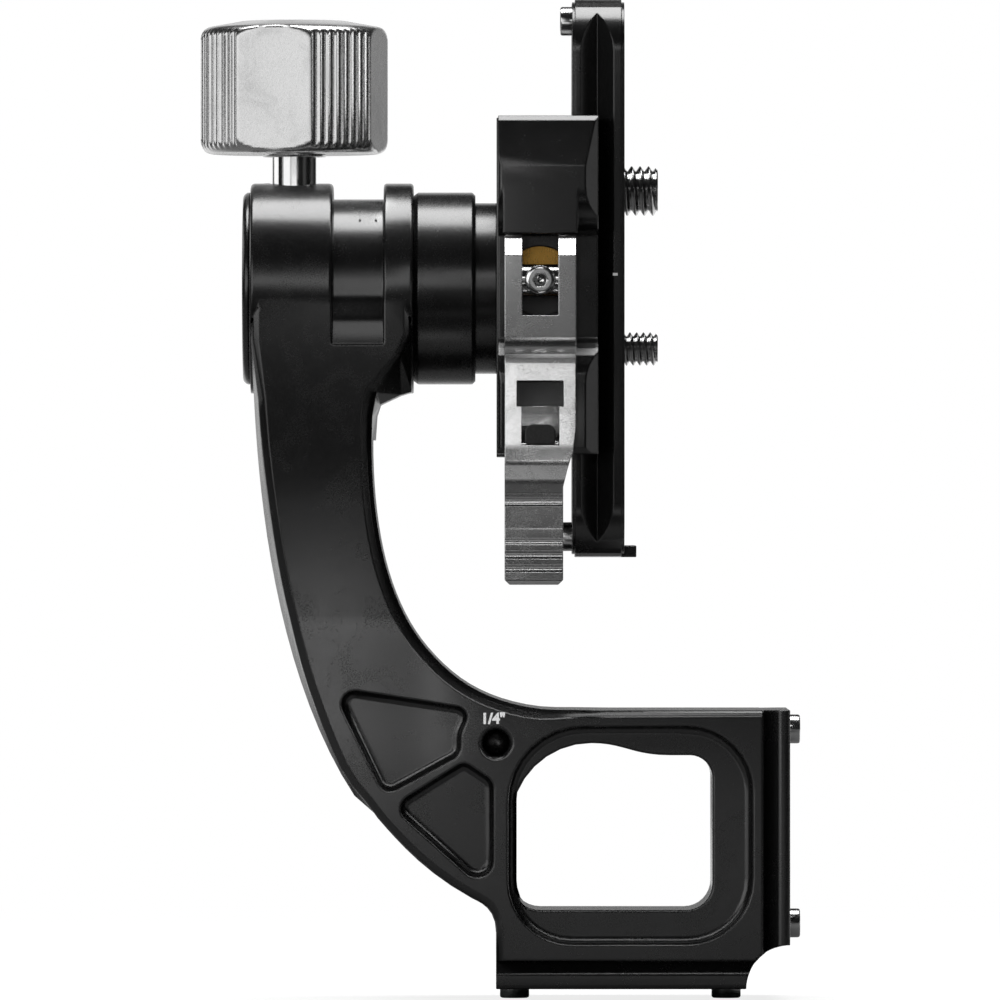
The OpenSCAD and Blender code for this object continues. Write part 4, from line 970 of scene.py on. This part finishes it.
def make_stud(node, radius, pitch, depth):
    """A camera stud: its head and neck from the frame, its thread cut as a helix."""
    middle, _, high = centre_of(node)
    plate_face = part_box("lens_plate")[1].x
    skin = merged(node)
    cut_off(skin, (plate_face + 0.02 * MM, 0, 0), (1, 0, 0), clear_outer=True)
    foot = soften(shown(node + "_foot", skin), 0.2)
    fitted(foot, "screw_steel", node)
    root = plate_face - 0.1 * MM
    grown(node + "_thread", thread_tree, [(root, middle.y, middle.z)], "screw_steel", [node],
          Turn=RIGHT, Outer_radius=radius * MM, Thread_depth=depth * MM, Pitch=pitch * MM,
          Length=high.x - root, Tip_bevel=depth * 0.8 * MM, Rows=72, Facets=72)


def make_springs():
    middle, low, high = centre_of("jaw_springs")
    radius = (high.x - low.x) / 2
    places = [(middle.x, high.y, z) for z in (low.z + radius, high.z - radius)]
    grown("jaw_springs_coiled", spring_tree, places, "spring_steel", ["jaw_springs"], Turn=FRONT,
          Coil_radius=radius - 0.35 * MM, Wire_radius=0.34 * MM, Length=high.y - low.y, Turns=6.0)
    middle, low, high = centre_of("lock_spring")
    radius = (high.y - low.y) / 2
    places = [(middle.x, middle.y, low.z)]
    grown("lock_spring_coiled", spring_tree, places, "spring_steel", ["lock_spring"], Turn=UP,
          Coil_radius=radius - 0.12 * MM, Wire_radius=0.1 * MM, Length=high.z - low.z, Turns=8.0)


def make_balls():
    low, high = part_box("bearing_balls")
    ball = 1.5 * MM
    places = [(x, 0, TILT_Z) for x in (low.x + ball, high.x - ball)]
    grown("bearing_balls_set", ball_tree, places, "bright_steel", ["bearing_balls"], Turn=RIGHT,
          Ring_radius=(high.z - low.z) / 2 - ball, Ball_radius=ball, Balls=15)


def rounded_corner(before, corner, after, radius, steps=7):
    """Points of an arc that rounds one corner of a profile."""
    a = (Vector(before) - Vector(corner)).normalized()
    b = (Vector(after) - Vector(corner)).normalized()
    half = a.angle(b) / 2
    reach = radius / math.tan(half)
    centre = Vector(corner) + (a + b).normalized() * radius / math.sin(half)
    first = Vector(corner) + a * reach - centre
    last = Vector(corner) + b * reach - centre
    sweep = first.angle_signed(last)
    points = []
    for i in range(steps + 1):
        turn = -sweep * i / steps
        points.append((centre.x + first.x * math.cos(turn) - first.y * math.sin(turn),
                       centre.y + first.x * math.sin(turn) + first.y * math.cos(turn)))
    return points


def make_knob():
    """The knob's profile from its foot, over its rounded edge and its flat crown, to its middle."""
    middle, low, high = centre_of("lock_knob")
    height = (high.z - low.z) / MM
    knob_r, edge, boss, crown, crown_r = 18.0, 2.79, 0.5, 1.5, 9.54
    shoulder = height - crown
    foot_r, foot_edge = knob_r / 3, 0.15
    profile = [(0.0, 0.0), (foot_r - foot_edge, 0.0), (foot_r, foot_edge), (foot_r, boss),
               (foot_r + 0.1, boss), (11.0, boss)]
    profile += rounded_corner((0, boss), (knob_r, boss), (knob_r, height), edge)
    profile += [(knob_r, boss + edge + (shoulder - boss - 2 * edge) * i / 3) for i in (1, 2)]
    profile += rounded_corner((knob_r, 0), (knob_r, shoulder), (crown_r, height), edge)
    slope_r = 12.5
    profile += [(slope_r, height - crown * (slope_r - crown_r) / (knob_r - crown_r))]
    profile += rounded_corner((knob_r, shoulder), (crown_r, height), (0, height), 5.0, 5)
    profile += [(crown_r * 0.5, height), (0.0, height)]
    points = [(r * MM, 0.0, z * MM) for r, z in profile]
    lines = [(i, i + 1) for i in range(len(points) - 1)]
    grown("lock_knob_turned", knob_tree, points, "silver_knob", ["lock_knob"], lines=lines,
          Stand=(middle.x, 0.0, low.z))


# Marks printed on the head

def make_size_mark():
    """The thread size beside the accessory hole, as a plain figure."""
    words = bpy.data.curves.new("size_mark", "FONT")
    words.body = '1/4"'
    words.size = 2.75 * MM
    words.extrude = 0.01 * MM
    words.offset = 0.11 * MM
    written = in_scene("size_mark_words", words)
    bpy.context.view_layer.update()
    graph = bpy.context.evaluated_depsgraph_get()
    mesh = bpy.data.meshes.new_from_object(written.evaluated_get(graph))
    bpy.data.objects.remove(written)
    place = Matrix.Translation((-26.25 * MM, -ARM_FACE, 49.85 * MM))
    mesh.transform(place @ Matrix.Rotation(math.pi / 2, 4, "X"))
    mesh.materials.clear()
    mesh.materials.append(GLOWING_PRINT)
    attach(in_scene("size_mark", mesh), BODY_OF["frame_arm"])


def make_centre_mark():
    """A short white line that marks the middle of the plate."""
    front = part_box("lens_plate")[0].y
    across, up, half_w, half_h = -1.1 * MM, 134.0 * MM, 0.45 * MM, 0.25 * MM
    faces = BVHTree.FromBMesh(merged("lens_plate"))
    spot, normal = faces.ray_cast(Vector((across, front - 0.01, up)), Vector((0, 1, 0)))[:2]
    side = normal.cross(Vector((0, 0, 1))).normalized() * half_w
    rise = Vector((0, 0, half_h))
    spot = spot + normal * 0.03 * MM
    corners = [spot - side - rise, spot - side + rise, spot + side + rise, spot + side - rise]
    mark = sheet("centre_mark", corners, GLOWING_PRINT)
    mark.data.update()
    if mark.data.polygons[0].normal.dot(normal) < 0:
        mark.data.flip_normals()
    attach(mark, BODY_OF["lens_plate"])


make_arm()
dressed("end_cap", "anodised_arm", 0.3)
dressed("tilt_hub", "anodised_hub", 0.25, change=close_gap)
dressed("clamp_base", "anodised_clamp", 0.22)
dressed("clamp_jaw", "anodised_clamp", 0.22)
dressed("cam_seat", "brass_seat", 0.2, change=halve_seat)
dressed("lever_trunnion", "bright_steel", 0.15)
make_lever()
dressed("lock_slider", "silver_lever", 0.12)
dressed("lock_button", "grey_button", 0.3)
dressed("lens_plate", "anodised_plate", 0.25)
dressed("plate_end_stop", "anodised_plate", 0.25)
dressed("knob_stem", "bright_steel", 0.2)
dressed("brake_pad", "brass_pad", 0.2)
dressed("brake_drum", "race_steel", 0.15)
dressed("bearing_spacer", "race_steel", 0.12)
dressed("bearing_outer_races", "race_steel", 0.1)
dressed("bearing_inner_races", "race_steel", 0.1)
dressed("jaw_guide_pins", "bright_steel", 0.2)
dressed("stud_large_washer", "screw_steel", 0.1)
dressed("stud_small_washer", "screw_steel", 0.1)
make_stop_screws()
make_end_stop_screws()
make_clamp_mount_screws()
make_drum_screw()
make_tie_screw()
make_stud("stud_large", 4.7, 1.5875, 0.95)
make_stud("stud_small", 3.15, 1.27, 0.76)
make_springs()
make_balls()
make_knob()
make_size_mark()
make_centre_mark()


# Floor, backdrop light, lamps and camera

def mixed(tree, share, first, second):
    """Mixes two shaders."""
    node = add(tree, "ShaderNodeMixShader", Fac=share)
    feed(tree, node.inputs[1], first.outputs[0])
    feed(tree, node.inputs[2], second.outputs[0])
    return node


def seen_straight(tree):
    """One where the camera sees a surface itself or through glass."""
    path = add(tree, "ShaderNodeLightPath")
    straight = Wire(tree, path.outputs["Is Camera Ray"])
    return straight.op("MAXIMUM", Wire(tree, path.outputs["Is Transmission Ray"])), path


def make_floor_paper():
    """Pale paper with the head's shadow near it, white further off and in what mirrors its back."""
    finish = bpy.data.materials.new("floor_paper")
    finish.use_nodes = True
    tree = finish.node_tree
    tree.nodes.clear()
    straight, path = seen_straight(tree)
    place = add(tree, "ShaderNodeTexCoord").outputs["Object"]
    back = between(tree, add(tree, "ShaderNodeSeparateXYZ", Vector=place).outputs["Y"], 0.1, 0.5)
    seen = straight.op("MAXIMUM", Wire(tree, path.outputs["Is Glossy Ray"]) * back)
    far = add(tree, "ShaderNodeVectorMath", {"operation": "LENGTH"})
    feed(tree, far.inputs[0], place)
    away = between(tree, far.outputs["Value"], 0.12, 0.6)
    paper = add(tree, "ShaderNodeBsdfDiffuse", Color=grey(0.2))
    shadowed = add(tree, "ShaderNodeBsdfDiffuse", Color=grey(0.3))
    glow = add(tree, "ShaderNodeEmission", Color=grey(1.0), Strength=0.82)
    clear = add(tree, "ShaderNodeEmission", Color=grey(1.0), Strength=1.0)
    near = add(tree, "ShaderNodeAddShader")
    feed(tree, near.inputs[0], shadowed.outputs[0])
    feed(tree, near.inputs[1], glow.outputs[0])
    both = mixed(tree, seen, paper, mixed(tree, away, near, clear))
    out = add(tree, "ShaderNodeOutputMaterial")
    feed(tree, out.inputs["Surface"], both.outputs[0])
    return finish


def make_floor():
    reach, low = 1.4, cad_box[0].z - 0.1 * MM
    corners = [(-reach, -reach, low), (reach, -reach, low), (reach, reach, low), (-reach, reach, low)]
    sheet("floor", corners, make_floor_paper())


def make_studio():
    """White behind the head, a dim room in front of it."""
    world = bpy.data.worlds.new("studio")
    bpy.context.scene.world = world
    world.use_nodes = True
    tree = world.node_tree
    tree.nodes.clear()
    seen = seen_straight(tree)[0]
    aim = add(tree, "ShaderNodeTexCoord").outputs["Generated"]

    def lobe(direction, start, stop):
        match = add(tree, "ShaderNodeVectorMath", {"operation": "DOT_PRODUCT"})
        feed(tree, match.inputs[0], aim)
        match.inputs[1].default_value = Vector(direction).normalized()
        return between(tree, match.outputs["Value"], start, stop)

    behind = lobe((0.0, 1.0, 0.0), 0.86, 0.97) - lobe((0.0, 1.0, 0.0), 0.98, 0.997)
    front = lobe((0.0, -1.0, -0.08), 0.9, 0.995) * 0.012
    front_left = lobe((-0.64, -0.77, 0.05), 0.9, 0.96) * 1.3
    back_left = lobe((-0.82, 0.57, 0.05), 0.86, 0.97) * 0.1
    right = lobe((1.0, -0.07, 0.0), 0.975, 0.993) * 0.5
    level = behind.op("MAXIMUM", front) + front_left + back_left + right + 0.012
    white = add(tree, "ShaderNodeBackground", Color=grey(1.0), Strength=1.0)
    room = add(tree, "ShaderNodeBackground", Color=grey(1.0), Strength=level)
    out = add(tree, "ShaderNodeOutputWorld")
    feed(tree, out.inputs["Surface"], mixed(tree, seen, room, white).outputs[0])


def make_lamp(name, place, target, width, height, level, let_through=()):
    """A softbox whose face shines at the given level. Some pieces may let its light through."""
    light = bpy.data.lights.new(name, "AREA")
    light.shape = "RECTANGLE"
    light.size = width
    light.size_y = height
    light.energy = level * math.pi * width * height
    lamp = in_scene(name, light)
    lamp.location = place
    lamp.rotation_mode = "QUATERNION"
    lamp.rotation_quaternion = (Vector(target) - Vector(place)).to_track_quat("-Z", "Y")
    lamp.visible_camera = False
    if let_through:
        passing = bpy.data.collections.new(name + "_passes")
        for piece in let_through:
            passing.objects.link(bpy.data.objects[piece])
        for member in passing.collection_objects:
            member.light_linking.link_state = "EXCLUDE"
        lamp.light_linking.blocker_collection = passing


def make_card(name, place, width, height, level):
    """A small lit card that faces straight back to the head."""
    make_lamp(name, place, (place[0], 0.0, place[2]), width, height, level)


def make_flag():
    """A black flag that keeps the low cards off the barrel."""
    black = bpy.data.materials.new("flag_cloth")
    black.use_nodes = True
    cloth = black.node_tree.nodes["Principled BSDF"]
    cloth.inputs["Base Color"].default_value = grey(0.005)
    cloth.inputs["Roughness"].default_value = 1.0
    cloth.inputs["Specular IOR Level"].default_value = 0.0
    left, right, near, far, height = -0.1, 0.07, -0.09, -0.24, 0.086
    corners = [(left, near, height), (left, far, height), (right, far, height), (right, near, height)]
    flag = sheet("flag", corners, black)
    flag.visible_camera = False


def make_camera():
    distance, view_w, film_w = 2.75, 0.18868, 36.0
    camera = bpy.data.cameras.new("photograph")
    camera.sensor_width = film_w
    camera.lens = film_w * distance / view_w
    camera.clip_start = 0.1
    camera.clip_end = 20.0
    stand = in_scene("photograph", camera)
    stand.location = (-0.0227, -distance, 0.0917)
    stand.rotation_euler = (math.pi / 2, 0.0, 0.0)
    bpy.context.scene.camera = stand


make_floor()
make_studio()
make_lamp("overhead_softbox", (-0.02, 0.09, 1.0), (-0.02, 0.0, 0.1), 0.9, 0.5, 7.0,
          let_through=("lock_knob_turned", "knob_stem_skin"))
make_card("barrel_card", (-0.063, -0.135, 0.148), 0.074, 0.024, 1.25)
make_lamp("lever_card", (-0.015, -0.3, 0.222), (-0.015, 0.0, 0.11), 0.04, 0.04, 2.3)
make_card("middle_card", (-0.01, -0.3, 0.141), 0.032, 0.04, 0.3)
make_card("slider_card", (-0.0125, -0.1, 0.1071), 0.012, 0.005, 1.9)
make_card("arm_card", (-0.058, -0.2, 0.056), 0.02, 0.044, 2.4)
make_card("streak_card", (-0.0348, -0.055, 0.054), 0.004, 0.026, 1.2)
make_card("table_card", (0.0, -0.22, 0.02), 0.11, 0.04, 0.34)
make_lamp("rim_card", (-0.03, -0.045, 0.07), (-0.03, -0.045, 0.0), 0.14, 0.01, 4.0)
make_lamp("knob_left_card", (-0.171, 0.04, 0.172), (-0.0616, 0.0, 0.172), 0.08, 0.05, 1.3)
make_lamp("knob_right_card", (-0.02, -0.012, 0.176), (-0.05, -0.01, 0.176), 0.012, 0.022, 2.2)
make_flag()
make_camera()

bpy.context.scene.view_settings.view_transform = "Standard"
